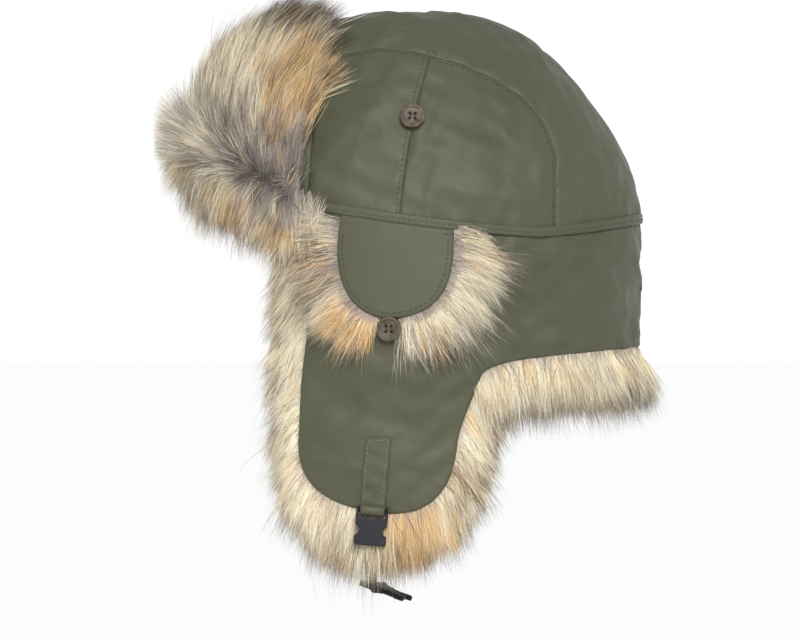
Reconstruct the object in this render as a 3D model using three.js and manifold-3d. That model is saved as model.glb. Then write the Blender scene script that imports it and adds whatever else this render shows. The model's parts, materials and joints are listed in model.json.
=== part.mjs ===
// A trapper hat: a panelled crown, an upturned fur visor, a fur-lined skirt with two ear flaps, buttoned
// ear vents and a chin strap with a side-release buckle.
//
// Millimetres. +X is the wearer's left, -Y is forward and +Z is up. The origin is the middle of the head
// opening, level with the seam between crown and skirt.
//
// Every soft layer is a slice between two nested copies of one hat-shaped surface, cut to its outline as
// seen from the side. A positive inset goes towards the head, a negative one away from it.
import * as THREE from 'three';
import { mergeVertices } from 'three/addons/utils/BufferGeometryUtils.js';
import Module from 'manifold-3d';

const wasm = await Module();
wasm.setup();

// ---- Driving dimensions ----
const halfWidth = 97; // outside of the crown at the seam, middle to side
const halfLength = 126.5; // the same, middle to front or back
const planCentre = 1.5; // the oval's middle lies this far behind the origin
const crownHeight = 127;
const wallDepth = 206; // how far the surface is carried below the seam
const flapLean = 0.08; // share of its width that the wall loses by the ear flaps' ends
const flapDepth = 175; // seam to the lowest point of the ear flap's shell
const foldHeight = -92; // where an ear flap parts from the skirt and folds
const foldGap = 2;

const shellThick = 1.5;
const paddingOuter = 1.8;
const paddingInner = 7.8;
const liningInner = 9.3;
const bandInner = 10.8;
const bandWidth = 22;
const liningRise = 0.5; // the inner layers stop this far above the seam
const furOuter = 1.8;
const furInner = 17;
const layerGap = 0.3;
const seamGap = 0.35;
const panelMiddle = { y: 2, z: 40 };
const panelReach = 60; // mean distance from the side panel's middle to its seam

const weltHeight = 5.4;
const weltOuter = 1.6;
const templeY = -72;
const visorTop = 117;

const buttonRadius = 7.7;
const buttonThick = 3;
const buttonLift = 2.2; // the thread shank's length
const shankRadius = 1.4;
const crownButton = { y: -9, z: 62 };
const ventButton = { y: -22.5, z: -64 };
const earPort = { y: -20, z: -31, radius: 18 };

const strapWidth = 15;
const strapThick = 1.8;
const strapTilt = THREE.MathUtils.degToRad(-5); // the strap's foot lies forward of its head
const strapHead = { y: -28.8, z: -129 };
const strapFoot = { y: -33, z: -173 }; // the middle of the buckle's bar
const loopOuter = 3.4;
const loopInner = 2;
const loopLift = 0.9; // clearance of the buckle's loop from the ear flap
const barRadius = 1.4;

const buckleHalfWidth = 9.65;
const buckleThick = 6.4;
const tailTop = -179;
const tailBottom = -222;
const tailTwist = THREE.MathUtils.degToRad(68);
const maleDip = THREE.MathUtils.degToRad(20);

const ringSegments = 40;
const crownRows = 7;
const wallRows = 4;
const sideReach = 160; // half the depth of a cut that goes right across the hat
const rearEnd = 144; // clear of the back, the front and the top of the hat
const frontEnd = -200;
const topEnd = 200;

// ---- Materials ----
const plain = (color, roughness, metalness = 0) =>
  new THREE.MeshStandardMaterial({ color, roughness, metalness });
const nylon = () => plain(0x62654f, 0.62);
const nylonSeam = () => plain(0x5a5d48, 0.66);
const furPile = () => plain(0xdcc796, 0.95);
const wadding = () => plain(0xe8e6df, 0.98);
const satin = () => plain(0x2d2d2b, 0.5);
const bandTape = () => plain(0x23231f, 0.8);
const buttonPlastic = () => plain(0x5c5048, 0.38);
const thread = () => plain(0x3f4134, 0.85);
const blackPlastic = () => plain(0x15171c, 0.36);
const stiffFoam = () => plain(0xb9b7ae, 0.9);
const elastic = () => plain(0x2f3028, 0.85);

// ---- Solids and meshes ----
const hat = new THREE.Group();

function addPiece(name, solid, material) {
  const raw = solid.getMesh();
  const geometry = new THREE.BufferGeometry();
  geometry.setAttribute('position', new THREE.BufferAttribute(raw.vertProperties, 3));
  geometry.setIndex(new THREE.BufferAttribute(raw.triVerts, 1));
  geometry.computeVertexNormals();
  const mesh = new THREE.Mesh(geometry, material);
  mesh.name = name;
  hat.add(mesh);
}

function solidFrom(geometry) {
  geometry.deleteAttribute('normal');
  geometry.deleteAttribute('uv');
  const merged = mergeVertices(geometry, 1e-4);
  return new wasm.Manifold(new wasm.Mesh({
    numProp: 3,
    vertProperties: new Float32Array(merged.attributes.position.array),
    triVerts: new Uint32Array(merged.index.array),
  }));
}

function box(sizeX, sizeY, sizeZ, centre = [0, 0, 0]) {
  const geometry = new THREE.BoxGeometry(sizeX, sizeY, sizeZ);
  geometry.translate(...centre);
  return solidFrom(geometry);
}

// A round bar along a local axis, given by its two end points.
function rod(radius, start, end, segments = 12) {
  const from = new THREE.Vector3(...start);
  const along = new THREE.Vector3(...end).sub(from);
  const geometry = new THREE.CylinderGeometry(radius, radius, along.length(), segments);
  const turn = new THREE.Quaternion().setFromUnitVectors(
    new THREE.Vector3(0, 1, 0), along.clone().normalize());
  geometry.applyQuaternion(turn);
  geometry.translate(...from.addScaledVector(along, 0.5));
  return solidFrom(geometry);
}

function placed(solid, matrix) {
  return solid.transform(matrix.elements);
}

// Grows a side-view cut about one of its points.
function scaledAbout({ y, z }, scale) {
  return new THREE.Matrix4()
    .makeTranslation(0, y, z)
    .multiply(new THREE.Matrix4().makeScale(1, scale, scale))
    .multiply(new THREE.Matrix4().makeTranslation(0, -y, -z));
}

// ---- The hat surface ----
// The crown's outline is rounder at the brow than at the back of the head.
const roundness = (angle) => 2.1 - 0.4 * Math.sin(angle);

function skinPoint(angle, radius, height, inset) {
  const power = 2 / roundness(angle);
  const above = height > 0;
  const reach = above ? radius ** power : radius;
  const z = above ? (crownHeight - inset) * height ** power : height * wallDepth;
  const lean = above ? 1 : 1 - flapLean * (z / flapDepth) ** 2;
  return new THREE.Vector3(
    (halfWidth * lean - inset) * reach * Math.cos(angle),
    planCentre + (halfLength - inset) * reach * Math.sin(angle),
    z,
  );
}

// One closed hat-shaped solid. The inset is a number, or a function of the point it moves.
function hatSolid(inset) {
  const profile = [new THREE.Vector2(0, -1)];
  for (let row = 0; row <= wallRows; row += 1) {
    profile.push(new THREE.Vector2(1, row / wallRows - 1));
  }
  for (let row = 1; row <= crownRows; row += 1) {
    const climb = (row / crownRows) * (Math.PI / 2);
    profile.push(new THREE.Vector2(Math.cos(climb), Math.sin(climb)));
  }
  const geometry = new THREE.LatheGeometry(profile, ringSegments);
  const position = geometry.attributes.position;
  const lathed = new THREE.Vector3();
  for (let i = 0; i < position.count; i += 1) {
    lathed.fromBufferAttribute(position, i);
    const angle = Math.atan2(-lathed.z, lathed.x);
    const radius = Math.min(1, Math.hypot(lathed.x, lathed.z));
    const height = Math.min(1, lathed.y);
    const base = skinPoint(angle, radius, height, 0);
    const depth = typeof inset === 'function' ? inset(base) : inset;
    position.setXYZ(i, ...skinPoint(angle, radius, height, depth));
  }
  return solidFrom(geometry);
}

const layer = (outer, inner) => hatSolid(outer).subtract(hatSolid(inner));

// The surface's X at a side-view point of the wall or the crown's flank, by halving the ring's angle.
function surfaceX(y, z) {
  const height = z > 0 ? z / crownHeight : z / wallDepth;
  let low = -Math.PI / 2;
  let high = Math.PI / 2;
  let point = null;
  for (let step = 0; step < 40; step += 1) {
    const angle = (low + high) / 2;
    const level = z > 0 ? height ** (roundness(angle) / 2) : height;
    const radius = z > 0 ? Math.sqrt(1 - level * level) : 1;
    point = skinPoint(angle, radius, level, 0);
    if (point.y < y) {
      low = angle;
    } else {
      high = angle;
    }
  }
  return point.x;
}

// ---- Outlines seen from the side: across the page is Y, up the page is Z ----
function outline(points) {
  return new THREE.Shape(points.map(([y, z]) => new THREE.Vector2(y, z)));
}

// A solid with a side-view outline, from one X to another. The sides are 1 (left) and -1 (right).
function sideCut(shape, fromX = -sideReach, toX = sideReach, curveSegments = 7) {
  const depth = toX - fromX;
  const geometry = new THREE.ExtrudeGeometry(shape, { depth, bevelEnabled: false, curveSegments });
  const yzx = new THREE.Matrix4().makeBasis(
    new THREE.Vector3(0, 1, 0), new THREE.Vector3(0, 0, 1), new THREE.Vector3(1, 0, 0));
  geometry.applyMatrix4(yzx.setPosition(fromX, 0, 0));
  return solidFrom(geometry);
}

function flankCut(side, shape, curveSegments) {
  return side > 0
    ? sideCut(shape, 1, sideReach, curveSegments)
    : sideCut(shape, -sideReach, -1, curveSegments);
}

// The seam between crown and skirt: a long curve round the back, and a rise over the brow.
function rimHeight(y) {
  const lowest = { y: 66, z: -8.5 };
  const browSlope = 0.6;
  const curvePower = 1.4;
  if (y < templeY) {
    return rimHeight(templeY) + browSlope * (templeY - y);
  }
  const steepness = y < lowest.y ? 0.0169 : 0.0245;
  return lowest.z + steepness * Math.abs(y - lowest.y) ** curvePower;
}

function rimPoints(lift) {
  const steps = 12;
  const points = [];
  for (let i = 0; i <= steps; i += 1) {
    const y = templeY + ((rearEnd - templeY) * i) / steps;
    points.push([y, rimHeight(y) + lift]);
  }
  return points;
}

function aboveRim(lift) {
  const brow = [frontEnd, rimHeight(frontEnd) + lift];
  return sideCut(outline([brow, ...rimPoints(lift), [rearEnd, topEnd], [frontEnd, topEnd]]));
}

// The side panel's seam runs up from the temple, over the flank and down behind the ear.
function sidePanelOutline() {
  const shape = new THREE.Shape();
  shape.moveTo(-72.5, -20);
  shape.lineTo(-68, 76);
  shape.bezierCurveTo(-67, 98, -47, 104, -25, 104.2);
  shape.bezierCurveTo(15, 101, 77, 80, 77, 34);
  shape.lineTo(77, -20);
  return shape;
}

// Everything ahead of the side panel's upright seam, or everything ahead of it less the seam's gap.
function aheadOfUprightSeam(gap) {
  const shape = new THREE.Shape();
  shape.moveTo(-160, -60);
  shape.lineTo(-21 - gap, -60);
  shape.quadraticCurveTo(-18 - gap, 45, 6 - gap, 112);
  shape.lineTo(6 - gap, 160);
  shape.lineTo(-160, 160);
  return shape;
}

function skirtOutline() {
  const shape = new THREE.Shape();
  shape.moveTo(-73, 60);
  shape.lineTo(-73, -70);
  shape.lineTo(-75.5, foldHeight + foldGap);
  shape.lineTo(33.5, foldHeight + foldGap);
  shape.bezierCurveTo(44, -83, 64, -81.5, 90, -79);
  shape.lineTo(rearEnd, -74);
  shape.lineTo(rearEnd, 60);
  return shape;
}

function skirtFurOutline() {
  const shape = new THREE.Shape();
  shape.moveTo(-92, 60);
  shape.lineTo(-92, foldHeight + foldGap);
  shape.lineTo(46.5, foldHeight + foldGap);
  shape.bezierCurveTo(52, -100, 68, -103, 90, -103);
  shape.lineTo(rearEnd, -100);
  shape.lineTo(rearEnd, 60);
  return shape;
}

function earFlapOutline() {
  const shape = new THREE.Shape();
  shape.moveTo(-76, foldHeight - foldGap);
  shape.lineTo(-78, -132);
  shape.bezierCurveTo(-78, -158, -62, -171, -24, -flapDepth);
  shape.bezierCurveTo(4, -176, 16, -158, 18, -132);
  shape.bezierCurveTo(20, -120, 28, -104, 32, foldHeight - foldGap);
  return shape;
}

function earFlapFurOutline() {
  const furTop = foldHeight - 7; // room for the pile when the flap swings in
  const shape = new THREE.Shape();
  shape.moveTo(-92, furTop);
  shape.lineTo(-96, -134);
  shape.bezierCurveTo(-96, -172, -74, -196, -26, -199);
  shape.bezierCurveTo(14, -199, 33, -172, 35, -134);
  shape.bezierCurveTo(36, -118, 40, -106, 42, furTop);
  return shape;
}

function ventOutline() {
  const shape = new THREE.Shape();
  shape.moveTo(-52.5, 20);
  shape.lineTo(-53.5, -15);
  shape.bezierCurveTo(-53, -44, -40, -57.5, -22, -57.6);
  shape.bezierCurveTo(2, -57.6, 14, -44, 15.5, -18);
  shape.lineTo(16, 20);
  return shape;
}

function ventFurOutline() {
  const shape = new THREE.Shape();
  shape.moveTo(-61, -11);
  shape.bezierCurveTo(-62, -50, -46, -68, -22, -69);
  shape.bezierCurveTo(8, -69, 25, -50, 26, -14);
  return shape;
}

function visorOutline(edge) {
  return outline([
    [templeY - edge, 0],
    [templeY + 1 - edge, 80],
    [-52 - edge, visorTop - edge],
    [-190, visorTop - edge],
    [-190, 0],
  ]);
}

// ---- Crown ----
// The crown is a top panel between two side panels, and each panel is backed by its own wadding.
function buildCrown() {
  const panel = sidePanelOutline();
  const ahead = sideCut(aheadOfUprightSeam(0));
  const aheadWithGap = sideCut(aheadOfUprightSeam(-seamGap));
  const shell = layer(0, shellThick).intersect(aboveRim(0));
  const padding = layer(paddingOuter, paddingInner).intersect(aboveRim(liningRise));
  let topPanel = shell;
  let topPadding = padding;
  for (const [side, word] of [[1, 'left'], [-1, 'right']]) {
    const flank = flankCut(side, panel);
    const cloth = shell.intersect(flank);
    addPiece(`crown_side_front_${word}`, cloth.intersect(ahead), nylon());
    addPiece(`crown_side_rear_${word}`, cloth.subtract(aheadWithGap), nylon());
    addPiece(`crown_wadding_${word}`, padding.intersect(flank), wadding());
    // The top panel's edge is the same seam, drawn a seam's gap wider about the panel's middle.
    const wider = placed(flank, scaledAbout(panelMiddle, 1 + seamGap / panelReach));
    topPanel = topPanel.subtract(wider);
    topPadding = topPadding.subtract(wider);
  }
  addPiece('crown_top_panel', topPanel, nylon());
  addPiece('crown_wadding_top', topPadding, wadding());
  const lining = layer(paddingInner + layerGap, liningInner).intersect(aboveRim(liningRise));
  addPiece('crown_lining', lining, satin());

  const band = layer(liningInner + layerGap, bandInner)
    .intersect(aboveRim(liningRise)).subtract(aboveRim(bandWidth));
  addPiece('inner_head_band', band, bandTape());

  const welt = outline([
    ...rimPoints(0.2),
    ...rimPoints(weltHeight).reverse(),
  ]);
  addPiece('hem_welt', layer(-weltOuter, -layerGap).intersect(sideCut(welt)), nylonSeam());
}

// ---- Skirt: the fixed band below the seam ----
function buildSkirt() {
  const aboveSeam = aboveRim(-layerGap);
  const hole = new THREE.Shape().absarc(earPort.y, earPort.z, earPort.radius, 0, Math.PI * 2);
  const port = sideCut(hole, -sideReach, sideReach, 10);

  const shell = layer(0, shellThick).intersect(sideCut(skirtOutline()));
  addPiece('skirt_shell', shell.subtract(aboveSeam).subtract(port), nylon());

  const fur = layer(furOuter, furInner).intersect(sideCut(skirtFurOutline()));
  addPiece('skirt_fur', fur.subtract(aboveSeam).subtract(port), furPile());

  const browOutline = outline([[-92.5, 80], [-92.5, -14], [-150, 16], [-150, 80]]);
  const brow = layer(furOuter, furInner).intersect(sideCut(browOutline));
  addPiece('forehead_fur', brow.subtract(aboveSeam), furPile());

  // A folded tab sewn flat on the back of the skirt.
  const tabOutline = outline([[100, -42], [100, -33], [rearEnd, -33], [rearEnd, -42]]);
  const tabHalfWidth = 7;
  const tab = sideCut(tabOutline, -tabHalfWidth, tabHalfWidth);
  addPiece('back_tab', layer(-1.3, -layerGap).intersect(tab), bandTape());
}

// ---- Visor: shell, stiffener and fur, turned up against the crown ----
function buildVisor() {
  const clearOfRim = aboveRim(0.8);
  // The pile is deepest at the front of the fold and thins towards the temples and the top edge.
  const pile = (point) => {
    const templeDepth = 13;
    const frontDepth = 32;
    const topShare = 0.55;
    const forward = THREE.MathUtils.clamp((templeY - point.y) / 50, 0, 1);
    const height = THREE.MathUtils.clamp((point.z - 45) / 72, 0, 1);
    return -THREE.MathUtils.lerp(templeDepth, frontDepth, forward)
      * THREE.MathUtils.lerp(1, topShare, height);
  };
  const cut = (edge) => sideCut(visorOutline(edge)).intersect(clearOfRim);
  addPiece('visor_shell', layer(-3.9, -2.4).intersect(cut(3)), nylon());
  addPiece('visor_stiffener', layer(-5.4, -4.2).intersect(cut(5)), stiffFoam());
  addPiece('visor_fur', layer(pile, -5.7).intersect(cut(0)), furPile());
}

// ---- Ear flaps, below the fold ----
function buildEarFlap(side, word) {
  const shell = layer(0, shellThick).intersect(flankCut(side, earFlapOutline()));
  addPiece(`ear_flap_shell_${word}`, shell, nylon());
  // The pile thins towards its foot, so the strap hangs clear of it.
  const thinStart = -150;
  const thinRate = 0.065;
  const outer = (point) => furOuter + thinRate * Math.max(0, thinStart - point.z);
  const fur = layer(outer, furInner).intersect(flankCut(side, earFlapFurOutline()));
  addPiece(`ear_flap_fur_${word}`, fur, furPile());
}

// ---- Ear vents: a half-round flap hung from the seam, held down by a loop and a button ----
const ventRootLift = 0.7;
const ventLean = 0.084; // the flap leans out by this share of its hang
const ventLift = (point) => ventRootLift + ventLean * Math.max(0, -point.z);

function buildVent(side, word) {
  const aboveSeam = aboveRim(-layerGap);
  const shellCut = flankCut(side, ventOutline()).subtract(aboveSeam);
  const outerFace = (point) => -ventLift(point) - shellThick;
  const innerFace = (point) => -ventLift(point);
  addPiece(`vent_flap_shell_${word}`, layer(outerFace, innerFace).intersect(shellCut), nylon());

  const roomRadius = buttonRadius + 2.4;
  const buttonRoom = new THREE.Shape()
    .absarc(ventButton.y, ventButton.z, roomRadius, 0, Math.PI * 2);
  const furCut = flankCut(side, ventFurOutline())
    .subtract(sideCut(buttonRoom, -sideReach, sideReach, 6));
  const furFace = (point) => layerGap - ventLift(point);
  addPiece(`vent_flap_fur_${word}`, layer(furFace, -0.4).intersect(furCut), furPile());

  const height = (y, z, lift) => new THREE.Vector3(side * (surfaceX(y, z) + lift), y, z);
  const { y, z } = ventButton;
  const path = new THREE.CatmullRomCurve3([
    height(y - 2.6, z + 8.4, 1.5),
    height(y - 2.6, z + 4, 1.1),
    height(y - 2.4, z - 1, 1.1),
    height(y, z - 3.2, 1.1),
    height(y + 2.4, z - 1, 1.1),
    height(y + 2.6, z + 4, 1.1),
    height(y + 2.6, z + 8.4, 1.5),
  ]);
  const cordRadius = 0.55;
  const cord = new THREE.Shape().absarc(0, 0, cordRadius, 0, Math.PI * 2);
  const loop = new THREE.ExtrudeGeometry(cord, { steps: 14, curveSegments: 2, extrudePath: path });
  addPiece(`vent_loop_${word}`, solidFrom(loop), elastic());
}

// ---- Buttons ----
// A four-hole button with a raised rim, lying on the plane z = 0 with its face up.
function buttonSolid() {
  const rimWidth = 1.6;
  const dish = 0.8;
  const profile = [
    [0, 0], [buttonRadius - 1.2, 0], [buttonRadius, 1], [buttonRadius, 2.2],
    [buttonRadius - 0.8, buttonThick], [buttonRadius - rimWidth, buttonThick],
    [buttonRadius - rimWidth - 0.7, buttonThick - dish], [0, buttonThick - dish],
  ];
  const lathe = new THREE.LatheGeometry(profile.map(([r, h]) => new THREE.Vector2(r, h)), 18);
  lathe.rotateX(Math.PI / 2);
  let solid = solidFrom(lathe);
  const holeRadius = 0.8;
  const holeOffset = 1.5;
  for (let corner = 0; corner < 4; corner += 1) {
    const x = corner % 2 ? holeOffset : -holeOffset;
    const y = corner < 2 ? holeOffset : -holeOffset;
    solid = solid.subtract(rod(holeRadius, [x, y, -1], [x, y, buttonThick + 1], 6));
  }
  return solid;
}

// The frame of something sewn on the surface: z is the outward normal, y runs up the surface.
function surfaceFrame(side, { y, z }, lift) {
  const step = 1.5;
  const centre = new THREE.Vector3(surfaceX(y, z), y, z);
  const along = new THREE.Vector3(surfaceX(y + step, z), y + step, z).sub(centre);
  const upward = new THREE.Vector3(surfaceX(y, z + step), y, z + step).sub(centre);
  const normal = along.clone().cross(upward).normalize();
  const up = upward.normalize();
  for (const vector of [centre, normal, up]) {
    vector.x *= side;
  }
  const across = up.clone().cross(normal).normalize();
  const frame = new THREE.Matrix4().makeBasis(across, up, normal);
  return frame.setPosition(centre.addScaledVector(normal, lift));
}

function buildButtons(side, word) {
  for (const [name, spot] of [['crown', crownButton], ['vent', ventButton]]) {
    const onShell = surfaceFrame(side, spot, 0);
    const frame = surfaceFrame(side, spot, buttonLift);
    addPiece(`${name}_button_${word}`, placed(buttonSolid(), frame), buttonPlastic());
    const shank = rod(shankRadius, [0, 0, layerGap], [0, 0, buttonLift - layerGap], 10);
    addPiece(`${name}_button_thread_${word}`, placed(shank, onShell), thread());
  }
}

// ---- Chin strap and buckle ----
function strapOutline(foot) {
  const half = strapWidth / 2;
  const top = strapHead;
  return outline([
    [top.y - half, top.z],
    [top.y + half, top.z],
    [foot.y + half, foot.z],
    [foot.y - half, foot.z],
  ]);
}

const strapLayer = () => layer(-layerGap - strapThick, -layerGap);

function loopSolid(from, to) {
  return rod(loopOuter, from, to, 16).subtract(rod(loopInner, [from[0], from[1] - 1, from[2]],
    [to[0], to[1] + 1, to[2]], 12));
}

// The female half hangs from the left strap. Local origin: the bar's middle; x is out, y is across.
function femaleBuckle() {
  const top = -4.4;
  const bottom = -21;
  const postTop = 2.6;
  const postInner = strapWidth / 2 + 0.6;
  const postWidth = buckleHalfWidth - postInner;
  let solid = box(buckleThick, buckleHalfWidth * 2, top - bottom, [0, 0, (top + bottom) / 2]);
  for (const hand of [1, -1]) {
    const middle = hand * (postInner + postWidth / 2);
    solid = solid.add(box(3.4, postWidth, postTop - top, [0, middle, (postTop + top) / 2]));
    const notchY = hand * (buckleHalfWidth + 0.4);
    solid = solid.subtract(rod(3, [-8, notchY, -12], [8, notchY, -12], 16));
  }
  solid = solid.add(rod(barRadius, [0, -buckleHalfWidth + 0.4, 0], [0, buckleHalfWidth - 0.4, 0]));
  const socketDepth = 13;
  return solid.subtract(box(3.8, 15.8, socketDepth + 1, [0, 0, bottom + (socketDepth - 1) / 2]));
}

function buildLeftStrap() {
  const plate = strapLayer().intersect(flankCut(1, strapOutline(strapFoot)));
  const loopX = surfaceX(strapFoot.y, strapFoot.z) + loopLift + loopOuter;
  const frame = new THREE.Matrix4().makeRotationX(strapTilt)
    .setPosition(loopX, strapFoot.y, strapFoot.z);
  const half = strapWidth / 2;
  const loop = placed(loopSolid([0, -half, 0], [0, half, 0]), frame);
  addPiece('strap_left', plate.add(loop), nylonSeam());
  addPiece('buckle_female', placed(femaleBuckle(), frame), blackPlastic());
}

// The free tail: flat against the flap at its head, turned round below the fur, straight at its foot.
function tailSolid(length) {
  const straight = 20;
  const geometry = new THREE.BoxGeometry(strapThick, strapWidth, length, 1, 1, 8);
  const position = geometry.attributes.position;
  const point = new THREE.Vector3();
  const up = new THREE.Vector3(0, 0, 1);
  for (let i = 0; i < position.count; i += 1) {
    point.fromBufferAttribute(position, i);
    const down = length / 2 - point.z;
    const turned = Math.min(1, down / (length - straight));
    point.applyAxisAngle(up, tailTwist * turned);
    position.setXYZ(i, ...point);
  }
  return solidFrom(geometry);
}

// The male half's frame. Local origin: the bar's middle; x is across, y points to the prongs' tips.
const maleRoot = 6;
const prongOffset = 6.4;

function maleFrame() {
  const back = -9.4;
  const thick = 3.4;
  const windowBack = -7.4;
  const windowFront = 4.4;
  const windowHalf = strapWidth / 2 + 0.5;
  let solid = box(buckleHalfWidth * 2, maleRoot - back, thick, [0, (maleRoot + back) / 2, 0]);
  const windowLength = windowFront - windowBack;
  solid = solid.subtract(
    box(windowHalf * 2, windowLength, thick + 2, [0, (windowFront + windowBack) / 2, 0]));
  solid = solid.add(rod(barRadius, [-buckleHalfWidth + 0.4, 0, 0], [buckleHalfWidth - 0.4, 0, 0]));
  return solid.add(box(3.2, 12.2, 2.6, [0, maleRoot + 5.9, 0]));
}

function prong(hand) {
  const shape = new THREE.Shape();
  const inner = prongOffset - 1.1;
  shape.moveTo(inner, maleRoot + layerGap);
  shape.lineTo(inner + 2.2, maleRoot + layerGap);
  shape.lineTo(inner + 2.2, maleRoot + 7);
  shape.lineTo(inner + 3.6, maleRoot + 8.2);
  shape.bezierCurveTo(inner + 3.9, maleRoot + 11, inner + 3, maleRoot + 14, inner + 0.8, maleRoot + 14);
  shape.lineTo(inner, maleRoot + 12.6);
  const geometry = new THREE.ExtrudeGeometry(shape, { depth: 3, bevelEnabled: false, curveSegments: 5 });
  geometry.translate(0, 0, -1.5);
  if (hand < 0) {
    geometry.rotateY(Math.PI);
  }
  return solidFrom(geometry);
}

function buildRightStrap() {
  const half = strapWidth / 2;
  const footY = -33.4;
  const sewn = strapLayer().intersect(flankCut(-1, strapOutline({ y: footY, z: tailTop + 0.7 })));
  addPiece('strap_right', sewn, nylonSeam());

  const length = tailTop - tailBottom;
  const tailX = -surfaceX(footY, tailTop) - layerGap - strapThick / 2;
  const tail = new THREE.Matrix4().makeTranslation(tailX, footY, (tailTop + tailBottom) / 2);
  addPiece('strap_tail', placed(tailSolid(length), tail), nylonSeam());

  // The bar lies along the foot's width, one loop radius in front of its face.
  const across = new THREE.Vector3(-Math.sin(tailTwist), Math.cos(tailTwist), 0);
  const ahead = new THREE.Vector3(Math.cos(tailTwist), Math.sin(tailTwist), 0);
  const bar = new THREE.Vector3(tailX, footY, tailBottom)
    .addScaledVector(ahead, strapThick / 2 + layerGap + loopOuter);
  const loopFrame = new THREE.Matrix4()
    .makeBasis(ahead, across, new THREE.Vector3(0, 0, 1)).setPosition(bar);
  addPiece('strap_loop', placed(loopSolid([0, -half, 0], [0, half, 0]), loopFrame), nylonSeam());

  const forward = ahead.clone().multiplyScalar(Math.cos(maleDip)).setZ(-Math.sin(maleDip));
  const width = across.clone().negate();
  const maleMatrix = new THREE.Matrix4()
    .makeBasis(width, forward, width.clone().cross(forward)).setPosition(bar);
  addPiece('buckle_male', placed(maleFrame(), maleMatrix), blackPlastic());
  addPiece('buckle_prong_near', placed(prong(1), maleMatrix), blackPlastic());
  addPiece('buckle_prong_far', placed(prong(-1), maleMatrix), blackPlastic());
}

buildCrown();
buildSkirt();
buildVisor();
for (const [side, word] of [[1, 'left'], [-1, 'right']]) {
  buildEarFlap(side, word);
  buildVent(side, word);
  buildButtons(side, word);
}
buildLeftStrap();
buildRightStrap();

export default hat;
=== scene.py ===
"""A trapper hat: cloth, fur, buttons, straps and buckle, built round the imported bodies.

Metres. +X is the wearer's left, -Y the way the wearer faces and +Z up. Cloth and fur lie on one hat-shaped
surface. It has two flat charts: a disc for the crown, and an unrolled wall for all that hangs below it.
Outlines are given in millimetres as seen from the wearer's left, as (Y, Z).
"""
import json
import math

import bpy
import numpy as np
from mathutils import Matrix, Vector
from mathutils.geometry import delaunay_2d_cdt


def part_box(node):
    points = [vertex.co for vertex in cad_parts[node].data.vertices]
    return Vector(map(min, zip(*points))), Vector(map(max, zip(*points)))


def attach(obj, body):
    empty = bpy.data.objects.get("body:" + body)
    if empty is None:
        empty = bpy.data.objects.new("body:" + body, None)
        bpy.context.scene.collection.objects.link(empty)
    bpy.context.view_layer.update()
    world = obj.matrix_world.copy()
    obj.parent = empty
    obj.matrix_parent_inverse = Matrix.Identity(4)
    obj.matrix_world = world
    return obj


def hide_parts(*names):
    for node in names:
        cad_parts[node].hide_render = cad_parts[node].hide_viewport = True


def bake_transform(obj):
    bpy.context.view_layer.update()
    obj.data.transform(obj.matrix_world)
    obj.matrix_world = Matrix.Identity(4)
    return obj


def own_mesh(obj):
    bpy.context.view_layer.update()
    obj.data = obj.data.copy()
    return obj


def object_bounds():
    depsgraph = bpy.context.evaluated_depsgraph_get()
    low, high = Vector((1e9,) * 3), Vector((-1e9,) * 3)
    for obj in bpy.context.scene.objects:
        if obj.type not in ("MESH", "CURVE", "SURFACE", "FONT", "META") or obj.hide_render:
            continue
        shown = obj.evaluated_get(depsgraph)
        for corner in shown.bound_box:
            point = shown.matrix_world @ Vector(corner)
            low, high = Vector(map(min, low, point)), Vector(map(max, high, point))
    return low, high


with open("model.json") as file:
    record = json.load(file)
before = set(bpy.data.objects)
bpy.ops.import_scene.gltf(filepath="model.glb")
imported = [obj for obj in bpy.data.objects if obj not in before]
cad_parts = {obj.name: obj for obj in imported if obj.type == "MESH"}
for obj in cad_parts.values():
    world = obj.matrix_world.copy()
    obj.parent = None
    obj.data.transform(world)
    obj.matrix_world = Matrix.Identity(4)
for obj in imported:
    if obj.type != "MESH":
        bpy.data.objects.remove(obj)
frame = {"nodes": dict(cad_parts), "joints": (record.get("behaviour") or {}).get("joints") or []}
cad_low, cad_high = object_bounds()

MM = 0.001
SIDES = ((1, "left"), (-1, "right"))

# ---- Sizes ----
PLAN_CENTRE = 1.5 * MM
HALF_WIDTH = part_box("skirt_shell")[1].x
HALF_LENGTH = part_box("skirt_shell")[1].y - PLAN_CENTRE
CROWN_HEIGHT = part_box("crown_top_panel")[1].z
FLAP_DEPTH = -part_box("ear_flap_shell_left")[0].z
FLAP_LEAN = 0.08
WELT_HEIGHT = 5.4 * MM
TEMPLE_Y = -72.0
RIM_LOW_Y = 66.0
CLOTH_THICK = 0.9 * MM
DISC_RADIUS = 0.18  # the disc chart's radius, about the length from crown to seam
WALL_RADIUS = 0.112  # the wall chart's mean radius

JOINTS = {joint["name"]: joint for joint in frame["joints"]}


# ---- The hat surface ----
def power_at(angle):
    return 2 / (2.1 - 0.4 * np.sin(angle))


def on_hat(angle, z, lift=0.0):
    """Points of the surface at a plan angle and a height, lifted outwards off the cloth."""
    angle, z, lift = np.broadcast_arrays(*(np.asarray(v, float) for v in (angle, z, lift)))
    power = power_at(angle)
    level = np.clip(z / (CROWN_HEIGHT + lift), 0, 1) ** (1 / power)
    reach = np.sqrt(1 - level**2) ** power
    lean = 1 - FLAP_LEAN * (np.minimum(z, 0) / FLAP_DEPTH) ** 2
    x = (HALF_WIDTH * lean + lift) * reach * np.cos(angle)
    y = PLAN_CENTRE + (HALF_LENGTH + lift) * reach * np.sin(angle)
    return np.stack([x, y, z], -1)


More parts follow.
